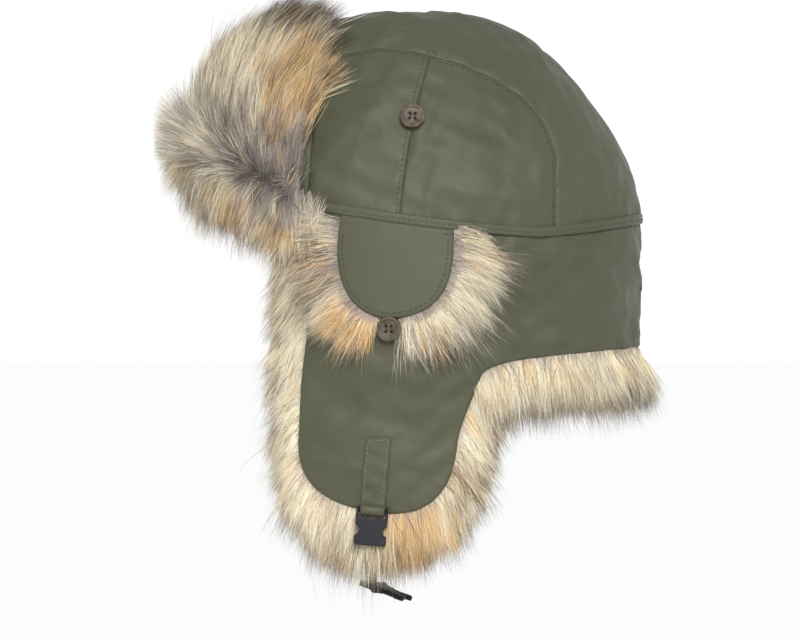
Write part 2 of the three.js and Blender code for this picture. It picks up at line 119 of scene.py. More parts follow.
def angle_at(y, z):
    """The plan angle on the wearer's left at which the surface passes a side-view point."""
    y, z = np.broadcast_arrays(np.asarray(y, float), np.asarray(z, float))
    low = np.full(y.shape, -math.pi / 2)
    high = np.full(y.shape, math.pi / 2)
    for _ in range(36):
        middle = (low + high) / 2
        short = on_hat(middle, z)[..., 1] < y
        low = np.where(short, middle, low)
        high = np.where(short, high, middle)
    return (low + high) / 2


def disc_to_hat(uv, lift=0.0):
    """The disc chart: its rim is the level of the seam and its middle the crown's top."""
    angle = np.arctan2(uv[..., 1], uv[..., 0])
    rho = np.hypot(uv[..., 0], uv[..., 1]) / DISC_RADIUS
    power = power_at(angle)
    climb = np.clip(1 - rho, 0, 1) * math.pi / 2
    reach = np.cos(climb) ** power
    below = np.minimum(1 - rho, 0) * DISC_RADIUS
    z = (CROWN_HEIGHT + lift) * np.sin(climb) ** power + below
    x = (HALF_WIDTH + lift) * reach * np.cos(angle)
    y = PLAN_CENTRE + (HALF_LENGTH + lift) * reach * np.sin(angle)
    return np.stack([x, y, z], -1)


def side_to_disc(points, side):
    """Disc chart places of side-view points."""
    y, z = points[:, 0], points[:, 1]
    angle = angle_at(y, z)
    climb = np.arcsin(np.clip(z / CROWN_HEIGHT, 0, 1) ** (1 / power_at(angle)))
    rho = np.where(z > 0, 1 - climb * 2 / math.pi, 1 - z / DISC_RADIUS) * DISC_RADIUS
    return np.stack([side * rho * np.cos(angle), rho * np.sin(angle)], -1)


def wall_chart(side):
    """The wall chart of one side: across is the plan angle times a mean radius, up is the height."""
    def to_hat(sz, lift=0.0):
        points = on_hat(sz[..., 0] / WALL_RADIUS, sz[..., 1], lift)
        points[..., 0] *= side
        return points
    return to_hat


def side_to_wall(points):
    return np.stack([angle_at(points[:, 0], points[:, 1]) * WALL_RADIUS, points[:, 1]], -1)


def to_nape(chart, within=1.0):
    """Carries a wall chart line's rearmost points, given within some mm, on to the middle of the back."""
    rear = chart[:, 0] > chart[:, 0].max() - within * MM
    carried = chart.copy()
    carried[rear, 0] = (math.pi / 2 + 0.002) * WALL_RADIUS
    return carried


def normals_on(to_hat, uv, lift=0.0):
    """Outward normals of the surface at chart places."""
    step = 0.2 * MM
    across = to_hat(uv + [step, 0], lift) - to_hat(uv - [step, 0], lift)
    along = to_hat(uv + [0, step], lift) - to_hat(uv - [0, step], lift)
    normal = unit(np.cross(across, along))
    outward = np.sum(normal * to_hat(uv, lift), -1, keepdims=True)
    return np.where(outward < 0, -normal, normal)


def unit(vectors):
    return vectors / np.maximum(np.linalg.norm(vectors, axis=-1, keepdims=True), 1e-9)


def smooth(low, high, value):
    t = np.clip((value - low) / (high - low), 0, 1)
    return t * t * (3 - 2 * t)


# ---- Outlines ----
LINE_SPACING = 1.2  # mm between the points of an outline


def trace(start, *steps):
    """A dense line through side-view points in mm: a step is a line's end, or a curve's handles and end."""
    points = [np.array(start, float)]
    for step in steps:
        handles = [points[-1], *(np.array(p, float) for p in np.atleast_2d(step))]
        span = sum(np.linalg.norm(b - a) for a, b in zip(handles, handles[1:]))
        count = max(2, int(span / LINE_SPACING))
        for t in np.arange(1, count + 1) / count:
            row = handles
            while len(row) > 1:
                row = [a * (1 - t) + b * t for a, b in zip(row, row[1:])]
            points.append(row[0])
    return np.array(points) * MM


def rim_z(y):
    """Height of the seam between crown and skirt, in metres, at a Y in metres."""
    def curve(y_mm):
        steepness = np.where(y_mm < RIM_LOW_Y, 0.0169, 0.0245)
        return -8.5 + steepness * np.abs(y_mm - RIM_LOW_Y) ** 1.4
    y_mm = np.asarray(y) / MM
    return (curve(np.maximum(y_mm, TEMPLE_Y)) + 0.6 * np.maximum(TEMPLE_Y - y_mm, 0)) * MM


def rim_at_angle(angle, rise=0.0):
    """Height of the seam at a plan angle, found by walking down the surface until both agree."""
    z = np.zeros_like(angle)
    for _ in range(30):
        z = 0.5 * z + 0.5 * (rim_z(on_hat(angle, z)[..., 1]) + rise)
    return z


def rim_line(from_y, to_y, rise=0.0):
    """The seam between two places, in mm, as a dense line in side view."""
    count = int(abs(to_y - from_y) / LINE_SPACING)
    y = np.linspace(from_y, to_y, count) * MM
    return np.stack([y, rim_z(y) + rise], -1)


def side_panel_outline():
    top = trace((77, 2), (77, 34), ((77, 80), (15, 101), (-25, 104.2)),
                ((-47, 104), (-67, 98), (-68, 76)), (-72.3, 15))
    bottom = rim_line(-72.3, 77)
    return np.concatenate([bottom, top[top[:, 1] > rim_z(top[:, 0]) + 1 * MM]])


def upright_seam():
    return trace((-21, -60), ((-18, 45), (6, 112)))


def flap_edge():
    return trace((-76, -94), (-78, -132), ((-78, -158), (-62, -171), (-24, -175)),
                 ((4, -176), (16, -158), (18, -132)), ((20, -120), (28, -104), (33, -91)))


def neck_edge():
    return trace((33, -91), ((41, -83.5), (62, -81.5), (90, -79)), (127.9, -75.3))


def vent_edge():
    return trace((-53, -2), (-53.5, -15), ((-53, -44), (-40, -57.5), (-22, -57.6)),
                 ((2, -57.6), (14, -44), (15.5, -18)), (15.8, -4))


# ---- Meshes ----
def add_mesh(name, points, faces, material):
    mesh = bpy.data.meshes.new(name)
    mesh.from_pydata(np.asarray(points).tolist(), [], [tuple(int(i) for i in f) for f in faces])
    mesh.validate()
    mesh.shade_smooth()
    mesh.materials.append(material)
    piece = bpy.data.objects.new(name, mesh)
    bpy.context.collection.objects.link(piece)
    return piece


def declare(piece, body, slot, *stands_for):
    """Says which body a piece rides and which CAD nodes it stands for, and hides those nodes. slot is not
    used.
    """
    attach(piece, body)
    if stands_for:
        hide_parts(*stands_for)


def ring_faces(count, sides, closed=False):
    """Faces that join a row of rings of points, capped at both ends unless the row closes on itself."""
    faces = []
    for i in range(count if closed else count - 1):
        here = i * sides
        ahead = (i + 1) % count * sides
        for k in range(sides):
            following = (k + 1) % sides
            faces.append((here + k, here + following, ahead + following, ahead + k))
    if not closed:
        faces.append(tuple(reversed(range(sides))))
        faces.append(tuple((count - 1) * sides + k for k in range(sides)))
    return faces


def merged(parts):
    """One shape's vertices and faces from those of several."""
    vertices, faces, base = [], [], 0
    for part_vertices, part_faces in parts:
        vertices.append(part_vertices)
        faces += [tuple(i + base for i in face) for face in part_faces]
        base += len(part_vertices)
    return np.concatenate(vertices), faces


def apply_modifiers(piece):
    """Leaves the piece as plain mesh, with its modifiers' result."""
    evaluated = piece.evaluated_get(bpy.context.evaluated_depsgraph_get())
    mesh = bpy.data.meshes.new_from_object(evaluated)
    piece.modifiers.clear()
    old = piece.data
    piece.data = mesh
    bpy.data.meshes.remove(old)


def thicken(piece, thickness):
    """Gives a sheet its thickness, on its inner side."""
    modifier = piece.modifiers.new("thickness", "SOLIDIFY")
    modifier.thickness = thickness
    modifier.offset = -1
    apply_modifiers(piece)


def nearest(points, line):
    """Distance from each point to a dense line of points, and the index of the nearest."""
    block = 4000
    distance = np.empty(len(points))
    index = np.empty(len(points), int)
    for start in range(0, len(points), block):
        gap = np.linalg.norm(points[start:start + block, None] - line[None], axis=2)
        index[start:start + block] = gap.argmin(1)
        distance[start:start + block] = gap.min(1)
    return distance, index


def inside(points, loop):
    """Whether each flat point is inside a closed loop."""
    result = np.zeros(len(points), bool)
    ends = np.roll(loop, -1, 0)
    for (ax, ay), (bx, by) in zip(loop, ends):
        crosses = (ay > points[:, 1]) != (by > points[:, 1])
        if ay != by:
            at = ax + (points[:, 1] - ay) * (bx - ax) / (by - ay)
            result ^= crosses & (points[:, 0] < at)
    return result


def resample(line, spacing, closed=False):
    path = np.concatenate([line, line[:1]]) if closed else line
    length = np.concatenate([[0], np.cumsum(np.linalg.norm(np.diff(path, axis=0), axis=1))])
    count = max(3, int(round(length[-1] / spacing)))
    at = np.linspace(0, length[-1], count + 1)
    if closed:
        at = at[:-1]
    return np.stack([np.interp(at, length, path[:, k]) for k in range(path.shape[1])], -1)


def line_normals(line, closed=True):
    """Left-hand normals of a flat line."""
    if closed:
        along = np.roll(line, -1, 0) - np.roll(line, 1, 0)
    else:
        along = np.gradient(line, axis=0)
    return unit(np.stack([-along[:, 1], along[:, 0]], -1))


def hex_points(low, high, spacing):
    rows = np.arange(low[1], high[1], spacing * math.sqrt(3) / 2)
    points = []
    for number, v in enumerate(rows):
        u = np.arange(low[0] + (number % 2) * spacing / 2, high[0], spacing)
        points.append(np.stack([u, np.full_like(u, v)], -1))
    return np.concatenate(points)


# ---- Smooth noise and cloth that has buckled ----
def noise(points, scale, seed):
    """Smooth noise, roughly from -1 to 1, as a sum of a few waves in random directions."""
    rng = np.random.default_rng(seed)
    total = np.zeros(len(points))
    waves = 9
    for _ in range(waves):
        direction = unit(rng.normal(size=points.shape[1]))
        total += np.sin(points @ direction * (2 * math.pi / scale) * rng.uniform(0.6, 1.5)
                        + rng.uniform(0, 6.28))
    return total / math.sqrt(waves)


CLOTH_CELL = 3.2 * MM
CLOTH_FRAMES = 20
CLOTH_GROWTH = (0.01, 0.16)  # least and most share by which the cloth is too large
CLOTH_LIMITS = (-0.9 * MM, 2.6 * MM)
FULLNESS = 1.5  # how much of the settled crumpling is worked into the cloth


def settle(rest, normal, faces, held, seed):
    """Where a cloth's points come to rest, when those held stay and the rest has grown too large."""
    start = rest + normal * (noise(rest, 22 * MM, seed) * 0.3 * MM)[:, None]
    piece = add_mesh("settling", start, faces, bpy.data.materials.new("settling"))
    pins = piece.vertex_groups.new(name="held")
    for index in np.flatnonzero(held):
        pins.add([int(index)], 1.0, "REPLACE")
    spare = piece.vertex_groups.new(name="spare")
    share = np.clip(0.5 + 0.5 * noise(rest, 38 * MM, seed + 1), 0, 1)
    for index, weight in enumerate(share):
        spare.add([index], float(weight), "REPLACE")
    cloth = piece.modifiers.new("cloth", "CLOTH")
    settings = cloth.settings
    settings.quality = 4
    settings.mass = 0.15
    settings.tension_stiffness = settings.compression_stiffness = 25
    settings.shear_stiffness = 12
    settings.bending_stiffness = 0.03
    settings.air_damping = 3
    settings.vertex_group_mass = "held"
    settings.vertex_group_shrink = "spare"
    settings.shrink_min = -CLOTH_GROWTH[0]
    settings.shrink_max = -CLOTH_GROWTH[1]
    settings.effector_weights.gravity = 0
    cloth.point_cache.frame_start = 1
    cloth.point_cache.frame_end = CLOTH_FRAMES
    scene = bpy.context.scene
    for number in range(1, CLOTH_FRAMES + 1):
        scene.frame_set(number)
    evaluated = piece.evaluated_get(bpy.context.evaluated_depsgraph_get())
    moved = np.array([v.co for v in evaluated.data.vertices])
    scene.frame_set(1)
    bpy.data.objects.remove(piece)
    return moved


class Buckled:
    """A grid of cloth over a chart, a little too large for the seams that hold it, left to settle.

    height() gives how far it then stands off the surface at any chart place."""

    def __init__(self, to_hat, low, high, used, held, seed):
        self.low = np.array(low)
        counts = np.ceil((np.array(high) - self.low) / CLOTH_CELL).astype(int) + 1
        across, up = np.meshgrid(*(np.arange(n) for n in counts), indexing="ij")
        uv = np.stack([across, up], -1).reshape(-1, 2) * CLOTH_CELL + self.low
        number = np.arange(len(uv)).reshape(counts)
        kept = used(uv).reshape(counts)
        cells = kept[:-1, :-1] & kept[1:, :-1] & kept[:-1, 1:] & kept[1:, 1:]
        quads = np.stack([number[:-1, :-1], number[1:, :-1], number[1:, 1:], number[:-1, 1:]], -1)[cells]
        corners = np.unique(quads)
        compact = np.full(len(uv), -1)
        compact[corners] = np.arange(len(corners))
        faces = compact[quads]
        edge = np.bincount(faces.ravel(), minlength=len(corners)) < 4
        rest = to_hat(uv)[corners]
        normal = normals_on(to_hat, uv)[corners]
        moved = settle(rest, normal, faces, held(uv[corners]) | edge, seed)
        height = np.zeros(len(uv))
        height[corners] = np.sum((moved - rest) * normal, -1) * FULLNESS
        low_limit, high_limit = CLOTH_LIMITS
        height = np.where(height > 0, high_limit * np.tanh(height / high_limit),
                          low_limit * np.tanh(height / low_limit))
        self.grid = height.reshape(counts)

    def height(self, uv):
        """Cubic B-spline sampling, which also takes out the grid's own roughness."""
        place = (uv - self.low) / CLOTH_CELL
        whole = np.floor(place).astype(int)
        part = place - whole
        total = np.zeros(len(uv))
        for i in range(4):
            for j in range(4):
                weight = spline_weight(i, part[:, 0]) * spline_weight(j, part[:, 1])
                a = np.clip(whole[:, 0] + i - 1, 0, self.grid.shape[0] - 1)
                b = np.clip(whole[:, 1] + j - 1, 0, self.grid.shape[1] - 1)
                total += weight * self.grid[a, b]
        return total


def spline_weight(index, t):
    return ((1 - t) ** 3, 3 * t**3 - 6 * t**2 + 4, -3 * t**3 + 3 * t**2 + 3 * t + 1, t**3)[index] / 6


class Still:
    def height(self, uv):
        return np.zeros(len(uv))


# A crease or fold: its two ends in side view (mm), its height and its half width.
FOLDS = (
    ((-70, 101), (-2, 122.5), -2.25, 3.0),
    ((-66, 97), (0, 119), 1.95, 4.5),
    ((34, -84), (-28, -52), 2.55, 6.0),
    ((46, -80), (4, -36), -1.8, 5.0),
    ((60, -80), (36, -44), 2.55, 5.5),
    ((112, -48), (62, -56), 1.95, 7.0),
    ((104, -18), (50, -26), 2.1, 5.5),
    ((90, -72), (56, -70), 1.65, 5.0),
    ((20, -100), (-44, -84), 1.95, 7.0),
    ((-6, -120), (-60, -112), -1.35, 6.0),
    ((-70, -140), (-36, -150), 1.5, 5.0),
    ((96, -60), (48, -34), 2.4, 6.0),
    ((118, -30), (74, -20), -1.2, 6.0),
    ((-58, 40), (-30, 78), 1.35, 8.0),
    ((18, 20), (66, 12), 1.2, 6.0),
    ((30, 60), (62, 30), -1.05, 7.0),
    ((90, 60), (104, 16), 1.35, 7.0),
)


def fold_height(points):
    """Long soft folds, as ridges and valleys that fade at both ends."""
    flat = points[:, 1:] / MM
    total = np.zeros(len(points))
    for start, end, height, width in FOLDS:
        start, end = np.array(start, float), np.array(end, float)
        along = end - start
        t = (flat - start) @ along / (along @ along)
        gap = np.linalg.norm(flat - (start + np.clip(t, 0, 1)[:, None] * along), axis=1)
        fade = smooth(-0.15, 0.3, t) * smooth(1.15, 0.7, t)
        total += height * MM * fade * np.exp(-(gap / width) ** 2)
    return total


# ---- Cloth panels ----
def crown_slump(points):
    """The back of the crown stands a little fuller near the top."""
    angle = np.arctan2(points[:, 1] - PLAN_CENTRE, np.abs(points[:, 0]))
    back = smooth(0.35, 1.1, angle)
    z = points[:, 2] / MM
    return back * 3.5 * np.exp(-((z - 106) / 18) ** 2) * MM


class Panel:
    """One cut piece of cloth on a chart, pinched in where its edge is sewn."""

    def __init__(self, loop, to_hat, settled=Still(), lift=0.0, pinch=1.1, pinch_width=2.6,
                 pucker=0.35, seed=0, folds=True):
        self.loop = resample(loop, 1.3 * MM, closed=True)
        area = np.sum(self.loop[:, 0] * np.roll(self.loop[:, 1], -1)
                      - self.loop[:, 1] * np.roll(self.loop[:, 0], -1))
        if area < 0:
            self.loop = self.loop[::-1]
        self.to_hat = to_hat
        self.settled = settled
        self.lift = lift
        self.pinch, self.pinch_width, self.pucker = pinch * MM, pinch_width * MM, pucker * MM
        self.seed = seed
        self.folds = folds
        self.edge = to_hat(self.loop)
        step = np.linalg.norm(np.roll(self.edge, -1, 0) - self.edge, axis=1)
        self.edge_length = np.cumsum(step)

    def height(self, uv):
        points = self.to_hat(uv)
        distance, index = nearest(points, self.edge)
        along = self.edge_length[index]
        away = np.clip(1 - distance / self.pinch_width, 0, 1)
        height = self.settled.height(uv) + (self.lift(points) if callable(self.lift) else self.lift)
        if self.folds:
            height = height + fold_height(points) * smooth(1 * MM, 9 * MM, distance)
        height = height - self.pinch * away**2
        line = np.stack([along, np.zeros_like(along)], -1)
        ruck = noise(line, 9 * MM, self.seed + 5) + 0.6 * noise(line, 4 * MM, self.seed + 6)
        height = height + self.pucker * ruck * np.exp(-distance / (4.5 * MM)) * smooth(0, 1.5 * MM, distance)
        return height

    def points(self, uv, extra=0.0):
        height = self.height(uv) + extra
        return self.to_hat(uv) + normals_on(self.to_hat, uv) * height[:, None]

    def inset_line(self, offset, spacing=0.8):
        line = resample(self.loop, spacing * MM, closed=True)
        return line + line_normals(line) * offset * MM

    def triangulated(self, spacing):
        """Chart places and triangles: rows that follow the edge, and an even field inside them."""
        rows = np.concatenate([self.inset_line(offset, 1.3) for offset in (0.45, 1.0, 1.7)])
        field = hex_points(self.loop.min(0), self.loop.max(0), spacing * MM)
        kept = [self.loop]
        for places, least_gap in ((rows, 0.42 * MM), (field, 2.2 * MM)):
            places = places[inside(places, self.loop)]
            gap, _ = nearest(places, self.loop)
            kept.append(places[gap > least_gap])
        count = len(self.loop)
        loop_edges = [(i, (i + 1) % count) for i in range(count)]
        flat, _, triangles, *_ = delaunay_2d_cdt(
            [Vector(p) for p in np.concatenate(kept)], loop_edges, [list(range(count))], 1, 1e-7)
        return np.array([tuple(p) for p in flat]), np.array([t for t in triangles if len(t) == 3])

    def build(self, name, material, spacing=1.9, thickness=CLOTH_THICK, hole=None):
        flat, triangles = self.triangulated(spacing)
        if hole is not None:
            middle = flat[triangles].mean(1)
            triangles = triangles[~inside(middle, hole)]
        placed = self.points(flat)
        a, b, c = (placed[triangles[:, k]] for k in range(3))
        facing = np.cross(b - a, c - a)
        outward = np.sum(facing * normals_on(self.to_hat, flat[triangles].mean(1)), -1)
        triangles[outward < 0] = triangles[outward < 0][:, ::-1]
        used = np.unique(triangles)
        compact = np.zeros(len(flat), int)
        compact[used] = np.arange(len(used))
        piece = add_mesh(name, placed[used], compact[triangles], material)
        thicken(piece, thickness)
        return piece


# ---- Stitches ----
STITCH_LENGTH = 2.5 * MM
STITCH_GAP = 0.9 * MM
THREAD_RADIUS = 0.27 * MM
THREAD_SIDES = 6


def stitch_row(points, normals):
    """Vertices and faces of a row of thread stitches lying on a line."""
    step = np.linalg.norm(np.diff(points, axis=0), axis=1)
    travelled = np.concatenate([[0], np.cumsum(step)])
    starts = np.arange(0.3 * MM, travelled[-1] - STITCH_LENGTH, STITCH_LENGTH + STITCH_GAP)
    sections = np.array([0, 0.2, 0.5, 0.8, 1])
    swell = np.array([0.45, 0.95, 1, 0.95, 0.45]) * THREAD_RADIUS
    rise = np.array([-0.28, 0.1, 0.2, 0.1, -0.28]) * MM
    turn = np.arange(THREAD_SIDES) * 2 * math.pi / THREAD_SIDES
    at = starts[:, None] + sections * STITCH_LENGTH

    def sample(values):
        return np.stack([np.interp(at, travelled, values[:, k]) for k in range(3)], -1)

    centre, normal = sample(points), unit(sample(normals))
    along = unit(centre[:, -1:] - centre[:, :1])
    across = np.cross(along, normal)
    centre = centre + normal * rise[None, :, None]
    ring = (across[:, :, None] * np.cos(turn)[None, None, :, None]
            + normal[:, :, None] * np.sin(turn)[None, None, :, None] * 0.8)
    vertices = centre[:, :, None] + ring * swell[None, :, None, None]
    faces = ring_faces(len(sections), THREAD_SIDES)
    return merged((stitch.reshape(-1, 3), faces) for stitch in vertices)


def stitches(name, rows, material):
    """One mesh from several rows, each a line of points with normals."""
    vertices, faces = merged(stitch_row(points, normals) for points, normals in rows)
    return add_mesh(name, vertices, faces, material)


def panel_row(panel, uv):
    """A line just above a panel's cloth, with its normals, for a row of stitches."""
    return panel.points(uv, 0.05 * MM), normals_on(panel.to_hat, uv)


# ---- Materials ----
def new_material(name, color, roughness, **inputs):
    material = bpy.data.materials.new(name)
    material.use_nodes = True
    shader = material.node_tree.nodes["Principled BSDF"]
    shader.inputs["Base Color"].default_value = (*color, 1)
    shader.inputs["Roughness"].default_value = roughness
    for socket, value in inputs.items():
        shader.inputs[socket.replace("_", " ")].default_value = value
    return material


def add_node(material, kind, inputs=None, **settings):
    node = material.node_tree.nodes.new(kind)
    for key, value in settings.items():
        setattr(node, key, value)
    for key, value in (inputs or {}).items():
        if isinstance(value, bpy.types.NodeSocket):
            material.node_tree.links.new(value, node.inputs[key])
        else:
            node.inputs[key].default_value = value
    return node


def to_shader(material, socket, output):
    material.node_tree.links.new(output, material.node_tree.nodes["Principled BSDF"].inputs[socket])


def object_place(material):
    return add_node(material, "ShaderNodeTexCoord").outputs["Object"]


def mottled_color(material, place, low, high, scale, detail=3.0):
    """Colour that drifts between two shades over the surface."""
    drift = add_node(material, "ShaderNodeTexNoise", {"Vector": place, "Scale": scale, "Detail": detail})
    ramp = add_node(material, "ShaderNodeValToRGB", {"Fac": drift.outputs["Fac"]})
    ramp.color_ramp.elements[0].position = 0.3
    ramp.color_ramp.elements[0].color = (*low, 1)
    ramp.color_ramp.elements[1].position = 0.7
    ramp.color_ramp.elements[1].color = (*high, 1)
    return ramp.outputs["Color"]


def weave_height(material, place, pitch):
    """A plain weave: two crossed sets of fine ribs."""
    ribs = []
    for direction in ("X", "Z"):
        wave = add_node(material, "ShaderNodeTexWave", {"Vector": place, "Scale": 0.157 / pitch},
                        bands_direction=direction)
        wave.inputs["Distortion"].default_value = 0.6
        ribs.append(wave.outputs["Fac"])
    return add_node(material, "ShaderNodeMath", {0: ribs[0], 1: ribs[1]}, operation="MULTIPLY").outputs[0]


def bump(material, height, distance, strength):
    node = add_node(material, "ShaderNodeBump",
                    {"Height": height, "Distance": distance, "Strength": strength})
    to_shader(material, "Normal", node.outputs["Normal"])


def nylon_material(name, low, high):
    material = new_material(name, low, 0.6, Sheen_Weight=0.06, Sheen_Roughness=0.5, Specular_IOR_Level=0.32)
    place = object_place(material)
    to_shader(material, "Base Color", mottled_color(material, place, low, high, 14))
    rough = add_node(material, "ShaderNodeTexNoise", {"Vector": place, "Scale": 60.0, "Detail": 4.0})
    span = add_node(material, "ShaderNodeMapRange", {"Value": rough.outputs["Fac"]})
    span.inputs["To Min"].default_value = 0.48
    span.inputs["To Max"].default_value = 0.66
    to_shader(material, "Roughness", span.outputs["Result"])
    bump(material, weave_height(material, place, 0.45 * MM), 0.08 * MM, 0.6)
    return material


def webbing_material(name, low, high):
    material = new_material(name, low, 0.7, Sheen_Weight=0.15)
    place = object_place(material)
    to_shader(material, "Base Color", mottled_color(material, place, low, high, 120))
    bump(material, weave_height(material, place, 1.1 * MM), 0.25 * MM, 0.8)
    return material


def thread_material(name, color):
    material = new_material(name, color, 0.6)
    place = object_place(material)
    darker = tuple(c * 0.7 for c in color)
    to_shader(material, "Base Color", mottled_color(material, place, darker, color, 400))
    wave = add_node(material, "ShaderNodeTexWave", {"Vector": place, "Scale": 500.0})
    bump(material, wave.outputs["Fac"], 0.06 * MM, 0.6)
    return material


def plastic_material(name, low, high, roughness, grain):
    material = new_material(name, low, roughness, Specular_IOR_Level=0.3)
    place = object_place(material)
    to_shader(material, "Base Color", mottled_color(material, place, low, high, grain))
    fine = add_node(material, "ShaderNodeTexNoise", {"Vector": place, "Scale": 900.0})
    bump(material, fine.outputs["Fac"], 0.03 * MM, 0.35)
    return material


def soft_material(name, low, high, scale):
    """Felted or foamed stuff, with a fine rough face."""
    material = new_material(name, low, 0.85)
    place = object_place(material)
    to_shader(material, "Base Color", mottled_color(material, place, low, high, scale, 6.0))
    fine = add_node(material, "ShaderNodeTexNoise", {"Vector": place, "Scale": scale * 6, "Detail": 5.0})
    bump(material, fine.outputs["Fac"], 0.5 * MM, 0.7)
    return material


# Each kind of hair: colours from root to tip, as (place along the hair, colour).
# Painted shade: most kinds start in a grey root colour, which stands in for the shadow deep in the fur under
# the cloth's edge.
ROOT_SHADE_GREY = (0.33, 0.28, 0.25)
HAIR_KINDS = {
    "cream": ((0.08, ROOT_SHADE_GREY), (0.32, (0.80, 0.71, 0.52)), (0.55, (0.98, 0.88, 0.62)),
              (1, (0.99, 0.93, 0.70))),
    "cream_tipped": ((0.08, ROOT_SHADE_GREY), (0.38, (0.76, 0.66, 0.48)), (0.62, (0.88, 0.76, 0.53)),
                     (0.74, (0.36, 0.26, 0.17)), (0.86, (0.05, 0.036, 0.031))),
    "tan": ((0.08, ROOT_SHADE_GREY), (0.36, (0.68, 0.47, 0.25)), (0.62, (0.90, 0.59, 0.24)),
            (1, (0.93, 0.68, 0.35))),
    "tan_tipped": ((0.08, ROOT_SHADE_GREY), (0.38, (0.66, 0.42, 0.20)), (0.6, (0.66, 0.37, 0.13)),
                   (0.74, (0.27, 0.145, 0.06)), (0.86, (0.045, 0.03, 0.025))),
    "taupe": ((0, (0.19, 0.165, 0.15)), (0.3, (0.27, 0.235, 0.215)), (0.7, (0.37, 0.33, 0.305)),
              (1, (0.52, 0.47, 0.42))),
    "dark": ((0, (0.20, 0.165, 0.14)), (0.3, (0.14, 0.10, 0.075)), (0.7, (0.05, 0.036, 0.029)),
             (1, (0.028, 0.021, 0.02))),
    "pale": ((0.06, ROOT_SHADE_GREY), (0.3, (0.86, 0.80, 0.66)), (0.5, (0.99, 0.95, 0.80)),
             (1, (0.99, 0.97, 0.87))),
    "olive": ((0, (0.30, 0.24, 0.15)), (0.3, (0.44, 0.33, 0.16)), (0.62, (0.20, 0.14, 0.065)),
              (0.9, (0.045, 0.034, 0.027))),
}
KIND_NUMBER = {kind: number for number, kind in enumerate(HAIR_KINDS)}
HAIR_LAYER = "OFBake"  # across picks the kind of hair and its shade, up runs from root to tip


def fur_material():
    material = new_material("faux_fur", (0.8, 0.7, 0.5), 0.62, Sheen_Weight=0.1)
    layer = add_node(material, "ShaderNodeUVMap", uv_map=HAIR_LAYER)
    split = add_node(material, "ShaderNodeSeparateXYZ", {"Vector": layer.outputs["UV"]})
    count = len(HAIR_KINDS)
    column = add_node(material, "ShaderNodeMath", {0: split.outputs["X"], 1: float(count)},
                      operation="MULTIPLY").outputs[0]
    shade = add_node(material, "ShaderNodeMath", {0: column}, operation="FRACT").outputs[0]
    color = None
    for number, stops in enumerate(HAIR_KINDS.values()):
        ramp = add_node(material, "ShaderNodeValToRGB", {"Fac": split.outputs["Y"]})
        elements = ramp.color_ramp.elements
        while len(elements) < len(stops):
            elements.new(0.5)
        for element, (place, stop) in zip(elements, stops):
            element.position = place
            element.color = (*stop, 1)
        if color is None:
            color = ramp.outputs["Color"]
            continue
        past = add_node(material, "ShaderNodeMath", {0: column, 1: float(number)},
                        operation="GREATER_THAN").outputs[0]
        mix = add_node(material, "ShaderNodeMix", data_type="RGBA")
        for socket, value in ((0, past), (6, color), (7, ramp.outputs["Color"])):
            material.node_tree.links.new(value, mix.inputs[socket])
        color = mix.outputs[2]
    bright = add_node(material, "ShaderNodeMapRange", {"Value": shade})
    bright.inputs["To Min"].default_value = 0.84
    bright.inputs["To Max"].default_value = 1.08
    tone = add_node(material, "ShaderNodeHueSaturation",
                    {"Color": color, "Value": bright.outputs["Result"]})
    to_shader(material, "Base Color", tone.outputs["Color"])
    return material


NYLON = nylon_material("nylon_shell", (0.056, 0.0585, 0.0325), (0.068, 0.0705, 0.040))
NYLON_TRIM = nylon_material("nylon_trim", (0.057, 0.060, 0.034), (0.068, 0.071, 0.042))
WEBBING = webbing_material("webbing", (0.070, 0.068, 0.040), (0.095, 0.090, 0.055))
THREAD = thread_material("thread", (0.046, 0.048, 0.032))
THREAD_LIGHT = thread_material("thread_light", (0.17, 0.165, 0.11))
BUTTON = plastic_material("button_plastic", (0.050, 0.038, 0.026), (0.115, 0.092, 0.064), 0.48, 260)
BLACK = plastic_material("buckle_plastic", (0.0035, 0.0045, 0.0065), (0.007, 0.0085, 0.012), 0.36, 90)
PELT = soft_material("fur_pelt", (0.36, 0.30, 0.23), (0.62, 0.53, 0.39), 220)
WADDING = soft_material("wadding", (0.74, 0.73, 0.69), (0.86, 0.85, 0.82), 90)
FOAM = soft_material("foam", (0.42, 0.41, 0.38), (0.52, 0.50, 0.47), 150)
LINING = nylon_material("lining_satin", (0.020, 0.020, 0.018), (0.030, 0.030, 0.027))
BAND = webbing_material("band_tape", (0.014, 0.014, 0.012), (0.024, 0.023, 0.020))
ELASTIC = webbing_material("elastic", (0.024, 0.025, 0.018), (0.040, 0.042, 0.030))
FUR = fur_material()


# ---- Fur ----
ROOM_SHARE = 0.03  # how far hair may stand past the CAD's box: a share of each side, and a distance
ROOM = 9 * MM
ROOT_DEPTH = 2.0 * MM  # how far up the pile a lock's roots are spread
SAME_AS_LOCK = 0.6  # the share of hairs that take their lock's kind


def kept_in(points, rng):
    """Hairs that would leave the allowed box are drawn in towards their roots until they fit."""
    size = np.array(cad_high) - np.array(cad_low)
    room = size * ROOM_SHARE + ROOM
    root = points[:, :1]
    reach = points - root
    share = np.ones(len(points))
    slack = rng.uniform(0.78, 1, len(points))
    for sign, wall in ((1, np.array(cad_high) + room), (-1, np.array(cad_low) - room)):
        gap = np.maximum(sign * (wall - root[:, 0]), 0.2 * MM)
        extent = np.maximum((sign * reach).max(1), 1e-6)
        share = np.minimum(share, np.where(extent > gap, gap * slack[:, None] / extent, 1).min(1))
    return root + reach * share[:, None, None]


